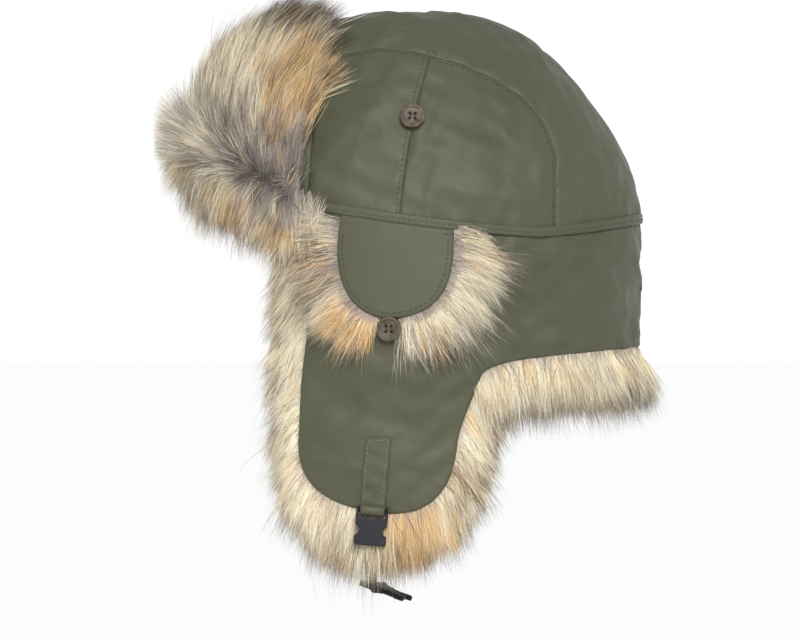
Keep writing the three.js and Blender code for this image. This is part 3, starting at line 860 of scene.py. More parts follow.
def hair_paths(locks, which, rng, segments, clump, lock_radius, stray):
    """Points along each hair, from root to tip, drawn together into locks towards their tips."""
    total = len(which)
    normal = locks["normal"][which]
    guide_aim, guide_fall = unit(locks["aim"]), unit(locks["fall"])
    across = unit(np.cross(normal, locks["aim"][which]))
    along = np.cross(across, normal)
    reach = lock_radius * MM * np.sqrt(rng.random(total))
    turn = rng.uniform(0, 2 * math.pi, total)
    offset = across * (reach * np.cos(turn))[:, None] + along * (reach * np.sin(turn))[:, None]
    offset += normal * (rng.random(total) * ROOT_DEPTH)[:, None]
    aim = unit(locks["aim"][which] + rng.normal(size=(total, 3)) * stray)
    fall = unit(locks["fall"][which] + rng.normal(size=(total, 3)) * stray * 1.4)
    length = locks["length"][which] * rng.normal(1, 0.13, total).clip(0.6, 1.4)
    gather = clump * rng.uniform(0.6, 1.0, total)

    points = np.empty((total, segments + 1, 3))
    guide = np.empty((len(locks["root"]), segments + 1, 3))
    points[:, 0] = locks["root"][which] + offset
    guide[:, 0] = locks["root"]
    for k in range(segments):
        t = (k + 0.5) / segments
        points[:, k + 1] = points[:, k] + unit(aim * (1 - t) + fall * t) * (length / segments)[:, None]
        guide[:, k + 1] = guide[:, k] + (unit(guide_aim * (1 - t) + guide_fall * t)
                                         * (locks["length"] / segments)[:, None])
    t = np.linspace(0, 1, segments + 1)
    pull = gather[:, None] * t**1.3 * (0.82 + 0.18 * t)
    return points + (guide[which] - points) * pull[:, :, None]


def kept_under(points, locks, which):
    """Hairs pressed down so that none rises above its cover until it is past that edge of the cloth."""
    normal = locks["normal"][which]
    from_edge = points - locks["brink"][which][:, None]
    past = np.sum(from_edge * locks["away"][which][:, None], -1)
    rise = np.sum(from_edge * normal[:, None], -1)
    beside = np.sum(from_edge[..., :2] ** 2, -1) - rise**2
    rise += np.maximum(beside, 0) / (2 * WALL_RADIUS)
    allowed = locks["cover"][which][:, None] + 0.8 * np.maximum(past - 0.8 * MM, 0)
    return points - normal[:, None] * np.maximum(rise - allowed, 0)[..., None]


def hair_columns(locks, which, rng):
    """The place across the hair layer that gives each hair its kind and shade."""
    total, count = len(which), len(locks["root"])
    as_lock = rng.random(total) < SAME_AS_LOCK
    of_lock = choose_kinds(locks["kinds"], rng)[which]
    kinds = np.where(as_lock, of_lock, choose_kinds(locks["kinds"][which], rng))
    shade = 0.5 * rng.random(total) + 0.5 * rng.random(count)[which]
    return (kinds + 0.06 + 0.88 * shade) / len(HAIR_KINDS)


def ribbon_mesh(name, points, sideways, thick, column):
    """A tapered ribbon along each hair's points, which ends in one point at its tip."""
    total, segments = len(points), points.shape[1] - 1
    t = np.linspace(0, 1, segments + 1)
    taper = 1 - 0.94 * t**1.3
    half = sideways * (thick[:, None] * taper / 2)[:, :, None]
    pairs = np.stack([points - half, points + half], 2)
    vertices = np.concatenate([pairs[:, :-1].reshape(total, -1, 3), points[:, -1:]], 1)
    per_hair = 2 * segments + 1
    base = np.arange(total)[:, None] * per_hair
    quads = np.array([[2 * k, 2 * k + 1, 2 * k + 3, 2 * k + 2] for k in range(segments - 1)]).ravel()
    tip = np.array([2 * segments - 2, 2 * segments - 1, 2 * segments])
    corners = np.concatenate([base + quads, base + tip], 1)
    corner_count = corners.shape[1]
    starts = np.arange(total)[:, None] * corner_count + np.arange(segments) * 4
    height = np.append(np.repeat(t[:-1], 2), 1.0)
    up = height[np.concatenate([quads, tip])]
    uv = np.stack([np.repeat(column, corner_count), np.tile(up, total)], -1)
    mesh = bpy.data.meshes.new(name)
    mesh.vertices.add(total * per_hair)
    mesh.vertices.foreach_set("co", vertices.astype(np.float32).ravel())
    mesh.loops.add(corners.size)
    mesh.loops.foreach_set("vertex_index", corners.astype(np.int32).ravel())
    mesh.polygons.add(starts.size)
    mesh.polygons.foreach_set("loop_start", starts.astype(np.int32).ravel())
    mesh.update(calc_edges=True)
    layer = mesh.uv_layers.new(name=HAIR_LAYER)
    layer.data.foreach_set("uv", uv.astype(np.float32).ravel())
    return mesh


def make_hairs(name, locks, per_lock, seed, segments=4, width=0.24, clump=0.62, lock_radius=3.9,
               stray=0.13):
    """Locks of tapered flat hairs. locks is a dict of arrays: root, normal, aim, fall, length, kinds.

    Where locks has a brink too, its hairs stay under the cloth up to that edge."""
    rng = np.random.default_rng(seed)
    which = np.repeat(np.arange(len(locks["root"])), per_lock)
    total = len(which)
    points = hair_paths(locks, which, rng, segments, clump, lock_radius, stray)
    if "brink" in locks:
        points = kept_under(points, locks, which)
    points = kept_in(points, rng)
    tangent = unit(np.gradient(points, axis=1))
    face = unit(locks["normal"][which] + rng.normal(size=(total, 3)) * 0.55)[:, None]
    sideways = unit(np.cross(tangent, face))
    thick = width * MM * rng.uniform(0.6, 1.25, total)
    mesh = ribbon_mesh(name, points, sideways, thick, hair_columns(locks, which, rng))
    mesh.shade_smooth()
    mesh.materials.append(FUR)
    piece = bpy.data.objects.new(name, mesh)
    bpy.context.collection.objects.link(piece)
    return piece


def choose_kinds(shares, rng):
    """Picks each hair's kind from its lock's shares of the kinds."""
    running = np.cumsum(shares, 1)
    draw = rng.random(len(shares))[:, None] * running[:, -1:]
    return (draw > running).sum(1).clip(0, len(HAIR_KINDS) - 1)


def mix_kinds(count, **shares):
    """An array of kind shares; each is a number or an array of the locks' length."""
    result = np.zeros((count, len(HAIR_KINDS)))
    for kind, share in shares.items():
        result[:, KIND_NUMBER[kind]] = share
    return result


# Where the fur is tan, and where it is grey-brown: centres and radii in side view, in mm.
TAN_SPOTS = ((-82, 84, 22), (-80, 56, 14), (-96, 48, 9), (-112, 14, 9), (-88, 0, 8), (-66, -26, 8),
             (-50, -66, 17), (2, -72, 8), (-6, -186, 20), (-50, -188, 9), (20, -150, 7))
BROWN_SPOTS = ((-34, -207, 12), (52, -122, 9), (-60, -40, 6))
TAUPE_SPOTS = ((-88, 24, 17), (-70, 15, 11), (-104, 34, 12), (-60, -10, 7), (-56, -34, 6))


def spot_share(points, spots):
    """How far inside the soft-edged spots each point lies, from 0 to 1."""
    share = np.zeros(len(points))
    for y, z, radius in spots:
        gap = np.hypot(points[:, 1] / MM - y, points[:, 2] / MM - z) / radius
        share = np.maximum(share, smooth(1.35, 0.55, gap))
    return share


def drift(points, seed, strength):
    """A direction that wanders slowly over the fur, so that neighbouring locks lean together."""
    wander = np.stack([noise(points, 34 * MM, seed + k) + 0.5 * noise(points, 13 * MM, seed + 10 + k)
                       for k in range(3)], -1)
    return wander * strength


def surface_axes(side, angle, z, lift):
    """Place, outward normal, backward and upward tangents on the hat's surface."""
    to_hat = wall_chart(side)
    place = np.stack([angle * WALL_RADIUS, z], -1)
    point = to_hat(place, lift)
    normal = normals_on(to_hat, place, 0.0)
    step = 0.2 * MM
    back = unit(to_hat(place + [step, 0], lift) - to_hat(place - [step, 0], lift))
    up = unit(to_hat(place + [0, step], lift) - to_hat(place - [0, step], lift))
    return point, normal, back, up


def direction(axes, back_share, up_share, out_share):
    """A unit direction at each place, from its shares backward, upward and outward."""
    _, normal, back, up = axes
    back_share, up_share, out_share = (
        np.broadcast_to(np.asarray(v, float), (len(normal),))[:, None]
        for v in (back_share, up_share, out_share))
    return unit(back * back_share + up * up_share + normal * out_share)


def dark_wisps(locks):
    """Turns locks into thin, long, dark-tipped ones that stand out past the rest."""
    kinds = mix_kinds(len(locks["root"]), dark=0.4, cream_tipped=0.36, tan_tipped=0.16, pale=0.08)
    return {**locks, "kinds": kinds, "length": locks["length"] * 1.1}


def tint_shares(points, tips, taupe=0.03):
    """Cream fur with tan patches. tips is the share of hairs that end dark, the long outer ones."""
    blur = noise(points, 20 * MM, 83) * 5 * MM
    moved = points + np.stack([np.zeros(len(points)), blur, -blur], -1)
    patch = spot_share(moved, TAN_SPOTS) * 0.85 + 0.05
    grey = spot_share(moved, TAUPE_SPOTS)
    brown = spot_share(moved, BROWN_SPOTS)
    plain = (1 - patch) * (1 - tips) * (1 - 0.7 * grey) * (1 - 0.8 * brown)
    return mix_kinds(
        len(points),
        cream=plain * 0.72,
        pale=plain * 0.28,
        cream_tipped=(1 - patch) * tips,
        tan=patch * (1 - tips),
        tan_tipped=patch * tips,
        taupe=taupe + 0.9 * grey,
        dark=0.01 + 0.07 * tips + 0.25 * brown,
        olive=0.9 * brown,
    )


def skirt_cover(z):
    """The height of the skirt cloth's inner face, where it is sewn."""
    return np.full_like(z, -2.3 * MM)


def edge_locks(edge, side, count, seed, tuck=(0, 11), depth=(0, 10), outward=0.62, down=0.75,
               length=(30, 44), out=0.0, fall_out=0.1, tips=0.4, wander=0.16, cover=skirt_cover,
               taupe=0.03):
    """Locks rooted under the cloth at an edge given on the wall chart, flowing out past it and down."""
    rng = np.random.default_rng(seed)
    line = resample(edge, 1 * MM)
    pick = rng.uniform(0, len(line) - 1.001, count)
    low = pick.astype(int)
    part = (pick - low)[:, None]
    spot = line[low] * (1 - part) + line[low + 1] * part
    normals = -line_normals(line, closed=False)[low]
    brink = surface_axes(side, spot[:, 0] / WALL_RADIUS, spot[:, 1], 0.0)
    tucked = rng.uniform(*tuck, count)
    spot = spot - normals * tucked[:, None] * MM
    under_cloth = cover(spot[:, 1])
    axes = surface_axes(side, spot[:, 0] / WALL_RADIUS, spot[:, 1],
                        under_cloth - rng.uniform(*depth, count) * MM)
    sway = rng.normal(size=(count, 2)) * (0.06 + 0.3 * wander)
    aim = direction(axes, normals[:, 0] * outward + sway[:, 0], normals[:, 1] * outward - down * 0.55,
                    out + rng.normal(size=count) * 0.08)
    fall = direction(axes, normals[:, 0] * outward * 0.7 + sway[:, 1],
                     normals[:, 1] * outward * 0.5 - down, fall_out + rng.normal(size=count) * 0.1)
    lean = drift(axes[0], seed // 10, wander)
    long = rng.uniform(*length, count) * rng.normal(1, 0.13, count)
    outermost = smooth(0.5, 0.85, (long - tucked - length[0]) / (length[1] - length[0] + 8))
    tips = tips * 0.75 + (0.9 - tips) * 0.75 * outermost
    return {
        "root": axes[0], "normal": axes[1], "aim": unit(aim + 0.6 * lean), "fall": unit(fall + lean),
        "length": long * MM,
        "kinds": tint_shares(axes[0] + 0.5 * aim * np.mean(length) * MM, tips, taupe=taupe),
        "brink": brink[0], "away": direction(brink, normals[:, 0], normals[:, 1], 0.0), "cover": under_cloth,
    }


LINING_DEPTH = 13 * MM  # from the cloth to where the inner hair stands
LINING_LENGTH = (18, 26)


def lining_locks(side, count, seed, loop, hole=None):
    """Locks all over the inner face of the fur, inside a wall chart loop, leaning inwards and down."""
    rng = np.random.default_rng(seed)
    low, high = loop.min(0), loop.max(0)
    spots = rng.uniform(low, high, (count * 4, 2))
    spots = spots[inside(spots, loop)][:count]
    if hole is not None:
        reach = [0, 0.5 * LINING_LENGTH[0] * MM]
        spots = spots[~inside(spots, hole) & ~inside(spots - reach, hole)]
    angle = spots[:, 0] / WALL_RADIUS
    axes = surface_axes(side, angle, spots[:, 1], -LINING_DEPTH)
    sway = rng.normal(size=(len(spots), 2)) * 0.25
    aim = direction(axes, sway[:, 0], -0.7, -0.75)
    fall = direction(axes, sway[:, 1], -1, -0.15)
    return {
        "root": axes[0], "normal": -axes[1], "aim": aim, "fall": fall,
        "length": rng.uniform(*LINING_LENGTH, len(spots)) * MM,
        "kinds": tint_shares(axes[0], 0.25),
    }


def visor_forward(y):
    """0 at the temples, where the visor starts, and 1 across the front."""
    return np.clip((TEMPLE_Y - y / MM) / 50, 0, 1)


def visor_fold(forward):
    """Height of the parting along the visor's fold, where hair turns up above and down below."""
    return (14 + 31 * forward) * MM


def visor_pile(forward, z):
    """How far the visor's pile stands off the crown."""
    high = np.clip(z / MM, 0, 110)
    return (10 + forward * (2 + 0.24 * high)) * MM


def visor_locks(count, seed, guard=False):
    """The turned-up visor: hair rises from the fold, up and back, over the whole front."""
    rng = np.random.default_rng(seed)
    angle = rng.uniform(-math.pi / 2 - 1.06, -math.pi / 2 + 1.06, count * 3)
    z = rng.uniform(8, 108, count * 3) * MM
    y = on_hat(angle, z)[..., 1]
    keep = (y < (-78 + 0.13 * z / MM) * MM) & (z > rim_z(y) + 1 * MM)
    angle, z, y = angle[keep][:count], z[keep][:count], y[keep][:count]
    count = len(angle)
    side = np.where(np.cos(angle) > 0, 1, -1)
    forward = visor_forward(y)
    lift = visor_pile(forward, z) * (1 - 0.5 * rng.random(count) ** 2)
    point, normal, _, up = surface_axes(1, angle, z, 0.0)
    outward = unit(normal * [1, 1, 0.4])
    point = point + outward * lift[:, None]
    up = unit(up + [0, 0, 0.5])
    back = unit(np.stack([0.1 * side, np.ones(count), np.zeros(count)], -1))
    fold = visor_fold(forward)
    rise = smooth(-10 * MM, 8 * MM, z - fold)[:, None]
    tuft = (np.exp(-((z - fold - 2 * MM) / (8 * MM)) ** 2) * forward**2)[:, None]
    crest = smooth(70 * MM, 100 * MM, z)[:, None]
    sway = rng.normal(size=(count, 3)) * 0.1 + drift(point, 300, 0.15)
    flow_back = (0.36 - 0.26 * forward)[:, None]
    splay = 0.22 + 0.25 * (1 - flow_back) * crest
    upward = unit(up * 0.86 + back * (flow_back + 0.12 * crest) + normal * splay)
    downward = unit(-up * 0.85 + normal * 0.6)
    aim = unit(upward * rise + downward * (1 - rise) + normal * tuft * 3 + sway)
    fall = unit((up * (0.86 - 0.2 * crest) + back * (flow_back + 0.26 * crest)) * rise
                + (-up * 1.0 + normal * 0.1) * (1 - rise) + normal * tuft * 3 + sway)
    side_share = smooth(-98, -76, y / MM)
    top = smooth(80, 102, z / MM)
    # Painted shade: along the parting just above the fold the hairs turn taupe and darker, standing in for
    # the shade where the roots show; they are also shorter there.
    parting_shade_band = np.exp(-((z - fold - 5 * MM) / (16 * MM)) ** 2) * (1 - tuft[:, 0] * 0.6)
    tips = (0.8 if guard else 0.1) + 0.1 * top
    kinds = tint_shares(point + aim * 8 * MM, tips, taupe=0.05)
    kinds *= (1 - 0.9 * top - 0.75 * parting_shade_band)[:, None]
    kinds[:, KIND_NUMBER["taupe"]] += 1.1 * parting_shade_band
    kinds[:, KIND_NUMBER["olive"]] += 0.07 + 0.9 * top
    kinds[:, KIND_NUMBER["dark"]] += 0.04 + 0.36 * side_share + 0.5 * top + 0.16 * parting_shade_band
    kinds[:, KIND_NUMBER["pale"]] += 0.8 * tuft[:, 0]
    length = rng.uniform(24, 36, count) * (1.12 if guard else 1) * (1 - 0.3 * parting_shade_band) * (1 - 0.15 * top)
    length = length * (1 + 0.2 * tuft[:, 0]) * rng.normal(1, 0.14, count)
    return {"root": point, "normal": normal, "aim": aim, "fall": fall, "length": length * MM, "kinds": kinds}


def brow_locks(count, seed, guard=False):
    """Hair that hangs from below the fold over the brow."""
    rng = np.random.default_rng(seed)
    angle = -math.pi / 2 + rng.uniform(-1, 1, count) * rng.normal(0.98, 0.06, count).clip(0.8, 1.06)
    base = on_hat(angle, np.full(count, 10 * MM))[..., 1]
    forward = visor_forward(base)
    fold = visor_fold(forward)
    drop = rng.random(count)
    z = fold + (3 - 24 * drop) * MM
    lift = (forward * (20 - 16 * drop) + rng.uniform(-5, 2, count)) * MM
    axes = surface_axes(1, angle, z, lift)
    sway = rng.normal(size=(count, 2)) * 0.12
    lean = drift(axes[0], 340, 0.2)
    aim = unit(direction(axes, sway[:, 0], -0.8, 0.55 - 0.3 * drop) + lean * 0.6)
    fall = unit(direction(axes, sway[:, 1], -1, 0.04) + lean)
    tips = np.maximum(0.85 * guard, 0.06 + 0.7 * smooth(0.55, 1, drop))
    kinds = tint_shares(axes[0] + aim * 12 * MM, tips, taupe=0.06)
    return {
        "root": axes[0], "normal": axes[1], "aim": aim, "fall": fall,
        "length": rng.uniform(18, 29, count) * rng.normal(1, 0.2, count) * MM * (1.15 if guard else 1),
        "kinds": kinds,
    }


LAYER_LOOKS = {
    "under": {},
    "guard": {"width": 0.18, "clump": 0.45, "stray": 0.17, "lock_radius": 4.5},
    "wisps": {"width": 0.34, "clump": 0.8, "stray": 0.24, "lock_radius": 2.6},
}


# The layers of fur of each part: which layer, how many locks, and how many hairs in each.
VISOR_LAYERS = (("under", 900, 31), ("under", 900, 31), ("under", 900, 31), ("guard", 900, 16),
                ("wisps", 420, 8))
BROW_LAYERS = (("under", 800, 31), ("under", 500, 31), ("guard", 700, 15), ("wisps", 460, 9))
FLAP_LAYERS = (("under", 900, 31), ("under", 900, 31), ("guard", 900, 14), ("wisps", 620, 9))
FRONT_LAYERS = (("under", 900, 31), ("guard", 600, 14), ("wisps", 260, 9))
NECK_LAYERS = (("under", 900, 31), ("guard", 800, 14), ("wisps", 420, 9))
VENT_LAYERS = (("under", 800, 28), ("guard", 700, 16), ("wisps", 200, 7))


def grow(name, body, make_locks, layers, **look):
    """Fur in several layers, each its own piece: underfur, then thin guard hairs and dark-tipped wisps."""
    pieces = []
    for number, (layer, count, per_lock) in enumerate(layers):
        locks = make_locks(count, number, layer != "under")
        if layer == "wisps":
            locks = dark_wisps(locks)
        hairs = make_hairs(f"{name}_{layer}_{number + 1}", locks, per_lock,
                           seed=len(name) * 101 + number, **{**look, **LAYER_LOOKS[layer]})
        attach(hairs, body)
        pieces.append(hairs)
    return pieces


def join_locks(*several):
    return {key: np.concatenate([locks[key] for locks in several]) for key in several[0]}


def pelt(name, loop, to_hat, outer, thickness, seed, body, node, hole=None):
    """The dense underfur that the hairs stand in: a lumpy slab under the cloth."""
    panel = Panel(loop, to_hat, lift=-outer * MM, pinch=2.5, pinch_width=6, pucker=0.8, seed=seed,
                  folds=False)
    piece = panel.build(name, PELT, spacing=3.4, thickness=thickness * MM, hole=hole)
    declare(piece, body, "faux_fur", node)


# ---- Crown ----
def crown_outlines():
    """The side panel's outline parted at the upright seam: the front piece's loop and the rear's."""
    panel = side_panel_outline()
    seam = upright_seam()
    seam_y = np.interp(panel[:, 1], seam[:, 1], seam[:, 0])
    ahead = panel[:, 0] < seam_y
    inner = seam[(seam[:, 1] > rim_z(seam[:, 0]) + 0.5 * MM) & (seam[:, 1] < 103 * MM)]
    change = np.flatnonzero(ahead != np.roll(ahead, 1))
    first = change[ahead[change]][0]
    last = change[~ahead[change]][0]
    order = np.roll(panel, -first, 0)
    front_count = (last - first) % len(panel)
    front, rear = order[:front_count], order[front_count:]
    down, up = inner[::-1], inner
    if front[-1, 1] > front[0, 1]:
        front_loop, rear_loop = np.concatenate([front, down]), np.concatenate([rear, up])
    else:
        front_loop, rear_loop = np.concatenate([front, up]), np.concatenate([rear, down])
    return front_loop, rear_loop


def rim_on_disc(start, end, rise=0.0):
    """The seam between two plan angles, on the disc chart, without its two ends."""
    angles = np.linspace(start, end, 160)[1:-1]
    z = rim_at_angle(angles, rise)
    climb = np.arcsin(np.clip(z / CROWN_HEIGHT, 0, 1) ** (1 / power_at(angles)))
    rho = np.where(z > 0, 1 - climb * 2 / math.pi, 1 - z / DISC_RADIUS) * DISC_RADIUS
    return np.stack([rho * np.cos(angles), rho * np.sin(angles)], -1)


def top_panel_loop():
    """The whole disc above the seam, as one loop that also runs round both side panels."""
    panel = side_panel_outline()
    low = np.flatnonzero(np.abs(panel[:, 1] - rim_z(panel[:, 0])) < 0.2 * MM)
    upper = panel[low.max():]
    upper = np.concatenate([upper, panel[:1]])
    left = side_to_disc(upper, 1)
    right = side_to_disc(upper, -1)
    rear_angle = math.atan2(left[0, 1], left[0, 0])
    front_angle = math.atan2(left[-1, 1], left[-1, 0])

    brow = rim_on_disc(front_angle, -math.pi - front_angle)
    nape = rim_on_disc(math.pi - rear_angle, rear_angle)
    return np.concatenate([left, brow, right[::-1], nape])


def build_crown():
    front_side, rear_side = crown_outlines()
    loops = {"top": top_panel_loop()}
    for side, word in SIDES:
        loops[f"front_{word}"] = side_to_disc(front_side, side)
        loops[f"rear_{word}"] = side_to_disc(rear_side, side)
    seams = np.concatenate([disc_to_hat(resample(loop, 1.5 * MM, closed=True)) for loop in loops.values()])

    def used(uv):
        points = disc_to_hat(uv)
        return points[:, 2] > rim_z(points[:, 1]) - 2 * MM

    def held(uv):
        distance, _ = nearest(disc_to_hat(uv), seams)
        return distance < 2.4 * MM

    reach = DISC_RADIUS * 1.06
    settled = Buckled(
        disc_to_hat, (-reach, -reach), (reach, reach), used, held, 11)
    rows = []
    seam = upright_seam()
    nodes = {key: f"crown_side_{key}" for key in loops}
    nodes["top"] = "crown_top_panel"
    for number, (key, loop) in enumerate(loops.items()):
        panel = Panel(loop, disc_to_hat, settled, lift=crown_slump, pinch=0.8, pinch_width=2.2,
                      seed=20 + number)
        piece = panel.build(f"crown_cloth_{key}", NYLON)
        declare(piece, "crown", "nylon_shell", nodes[key])
        if key == "top":
            continue
        line = panel.inset_line(3.0)
        points = disc_to_hat(line)
        wanted = points[:, 2] > rim_z(points[:, 1]) + WELT_HEIGHT
        if key.startswith("rear"):
            seam_y = np.interp(points[:, 2], seam[:, 1], seam[:, 0])
            wanted &= np.abs(points[:, 1] - seam_y) > 5 * MM
        for run in runs(wanted):
            rows.append(panel_row(panel, line[run]))
    declare(stitches("crown_topstitching", rows, THREAD), "crown", "thread")


def runs(flags):
    """Index runs in which a flag holds, going round a closed line."""
    if flags.all():
        return [np.append(np.arange(len(flags)), 0)]
    start = int(np.flatnonzero(~flags)[0])
    order = (np.arange(len(flags)) + start) % len(flags)
    found, current = [], []
    for index in order:
        if flags[index]:
            current.append(index)
        elif current:
            found.append(np.array(current))
            current = []
    if current:
        found.append(np.array(current))
    return [run for run in found if len(run) > 6]


def build_welt():
    """The folded strip along the seam, from temple to temple round the back, with its stitch line."""
    start = float(angle_at(TEMPLE_Y * MM, rim_z(TEMPLE_Y * MM)))
    angle = np.linspace(start, math.pi - start, 420)
    base = rim_at_angle(angle)
    profile = ((-0.9, 0.1), (-0.7, 1.3), (0.1, 1.9), (1.3, 2.05), (2.0, 1.75), (3.2, 1.95), (4.6, 1.95),
               (5.3, 1.5), (5.5, 0.7), (5.2, -0.1))
    seed_line = np.stack([angle * WALL_RADIUS, np.zeros_like(angle)], -1)
    wobble = noise(seed_line, 11 * MM, 3) * 0.13 * MM
    rings = np.stack([on_hat(angle, base + up * MM, out * MM + wobble * (out > 0.5))
                      for up, out in profile], 1)
    piece = add_mesh("hem_welt_strip", rings.reshape(-1, 3), ring_faces(len(angle), len(profile)), NYLON_TRIM)
    declare(piece, "crown", "nylon_trim", "hem_welt")
    stitch_z = base + 2.0 * MM
    points = on_hat(angle, stitch_z, 1.78 * MM + wobble)
    normals = normals_on(wall_chart(1), np.stack([angle * WALL_RADIUS, stitch_z], -1))
    declare(stitches("welt_stitching", [(points, normals)], THREAD), "crown", "thread")


# ---- Skirt and ear flaps: one cloth each side ----
EAR_PORT_CENTRE = (-20, -31)
EAR_PORT_RADIUS = 18


def skirt_loop():
    front = trace((-76, -94), (-75.5, -90), (-73, -70), (-73, 6))
    top = rim_line(-72.5, 127.9)
    back = trace((127.9, -8), (127.9, -75.3))
    return np.concatenate([flap_edge()[::-1], front[1:], top, back, neck_edge()[::-1][1:-1]])


def ear_port():
    """The round hole over the ear, which the vent flap covers."""
    turn = np.linspace(0, 2 * math.pi, 49)[:-1]
    return (np.stack([np.cos(turn), np.sin(turn)], -1) * EAR_PORT_RADIUS + EAR_PORT_CENTRE) * MM


def build_skirt(side, word):
    to_hat = wall_chart(side)
    loop = to_nape(side_to_wall(skirt_loop()))
    edge_points = to_hat(resample(loop, 1.5 * MM, closed=True))

    def used(uv):
        return inside(uv, loop)

    def held(uv):
        return nearest(to_hat(uv), edge_points)[0] < 2.4 * MM

    settled = Buckled(
        to_hat, loop.min(0) - CLOTH_CELL, loop.max(0) + CLOTH_CELL, used, held, 40 + side)
    panel = Panel(loop, to_hat, settled, pinch=0.9, pinch_width=1.6, pucker=0.3, seed=60 + side)
    piece = panel.build(f"skirt_cloth_{word}", NYLON, hole=side_to_wall(ear_port()))
    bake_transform(piece)
    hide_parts("skirt_shell", f"ear_flap_shell_{word}")
    return panel


def build_pelts_and_linings():
    for side, word in SIDES:
        to_hat = wall_chart(side)
        skirt = np.concatenate([
            trace((-90, -88), (-90, 14)), rim_line(-84, 127, rise=-1 * MM),
            trace((127.5, -40), (127.5, -98), ((90, -99), (68, -99), (52, -92)), (46, -88))])
        pelt(f"skirt_pelt_{word}", to_nape(side_to_wall(skirt), 4), to_hat, 2.6, 11, 70, "crown",
             "skirt_fur", hole=side_to_wall(ear_port()))
        flap = trace((-88, -98), (-91, -134), ((-92, -170), (-72, -190), (-26, -193)),
                     ((12, -193), (29, -170), (31, -134)), ((32, -118), (36, -106), (38, -98)))
        pelt(f"ear_flap_pelt_{word}", side_to_wall(flap), to_hat, 3.2, 9, 71, f"ear_flap_{word}",
             f"ear_flap_fur_{word}")
        inner_skirt = trace((-92, -90), (-92, 4), (124, -12), (126, -98), (60, -96), (40, -90), (-92, -90))
        locks = lining_locks(side, 950, 500 + side, to_nape(side_to_wall(inner_skirt), 8),
                             hole=side_to_wall(ear_port()))
        hairs = make_hairs(f"skirt_lining_fur_{word}", locks, 24, 510 + side, width=0.4)
        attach(hairs, "crown")
        inner_flap = np.concatenate([flap, flap[:1]])
        locks = lining_locks(side, 620, 520 + side, side_to_wall(inner_flap))
        hairs = make_hairs(f"ear_flap_lining_fur_{word}", locks, 24, 530 + side, width=0.4)
        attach(hairs, f"ear_flap_{word}")


def build_edge_fur():
    """The fur that comes out from under the skirt's and the ear flaps' edges."""
    for side, word in SIDES:
        def flap(count, number, guard):
            line = side_to_wall(flap_edge())
            seed = 1000 + 40 * number + side
            locks = join_locks(
                edge_locks(line, side, int(count * 0.7), seed, outward=0.5,
                           length=(24, 37) if guard else (19, 31), tips=0.9 if guard else 0.08),
                edge_locks(line, side, int(count * 0.3), seed + 200, tuck=(-9, 2), depth=(1, 10),
                           outward=0.4, length=(18, 29), tips=0.9 if guard else 0.12))
            lowest = smooth(-140, -178, locks["root"][:, 2] / MM)
            front_share = smooth(10, -50, locks["root"][:, 1] / MM)
            locks["length"] = locks["length"] * (1 + (0.1 + 0.32 * front_share) * lowest)
            return locks

        def front(count, number, guard):
            line = side_to_wall(trace((-72, 12), (-73, -60), (-75.5, -92)))
            return edge_locks(line, side, count, 1400 + 40 * number + side, tuck=(-10, 8), outward=0.4,
                              length=(24, 36) if guard else (20, 31), tips=0.7 if guard else 0.08)

        def neck(count, number, guard):
            line = side_to_wall(neck_edge())
            line = np.concatenate([line, to_nape(line[-1:])])
            return edge_locks(line, side, count, 1600 + 40 * number + side, tuck=(-5, 9),
                              outward=0.3, out=0.16, fall_out=0.34, wander=0.13,
                              length=(30, 40) if guard else (26, 33), tips=0.9 if guard else 0.02)

        grow(f"ear_flap_fringe_{word}", f"ear_flap_{word}", flap, FLAP_LAYERS)
        grow(f"skirt_front_fringe_{word}", "crown", front, FRONT_LAYERS)
        grow(f"neck_fringe_{word}", "crown", neck, NECK_LAYERS)


# ---- Vent flaps ----
VENT_LIFT = 0.7 * MM
VENT_LEAN = 0.084
VENT_FUR_LIFT = 0.6 * MM
VENT_BUTTON_Y = (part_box("vent_button_left")[0].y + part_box("vent_button_left")[1].y) / 2
VENT_BUTTON_ROOM = 10 * MM  # half the width of the gap in the fringe at the button


def vent_lift(points):
    """The vent flap's cloth leans outwards from its top seam."""
    return VENT_LIFT + CLOTH_THICK + VENT_LEAN * np.maximum(0, -points[:, 2])


def vent_fur_lift(points):
    return VENT_FUR_LIFT + VENT_LEAN * np.maximum(0, -points[:, 2]) * 0.8


def vent_cover(z):
    """Height of the vent flap's inner face, which its fur doesn't rise past."""
    return np.maximum(VENT_LEAN * -z - 0.4 * MM, 0.3 * MM)


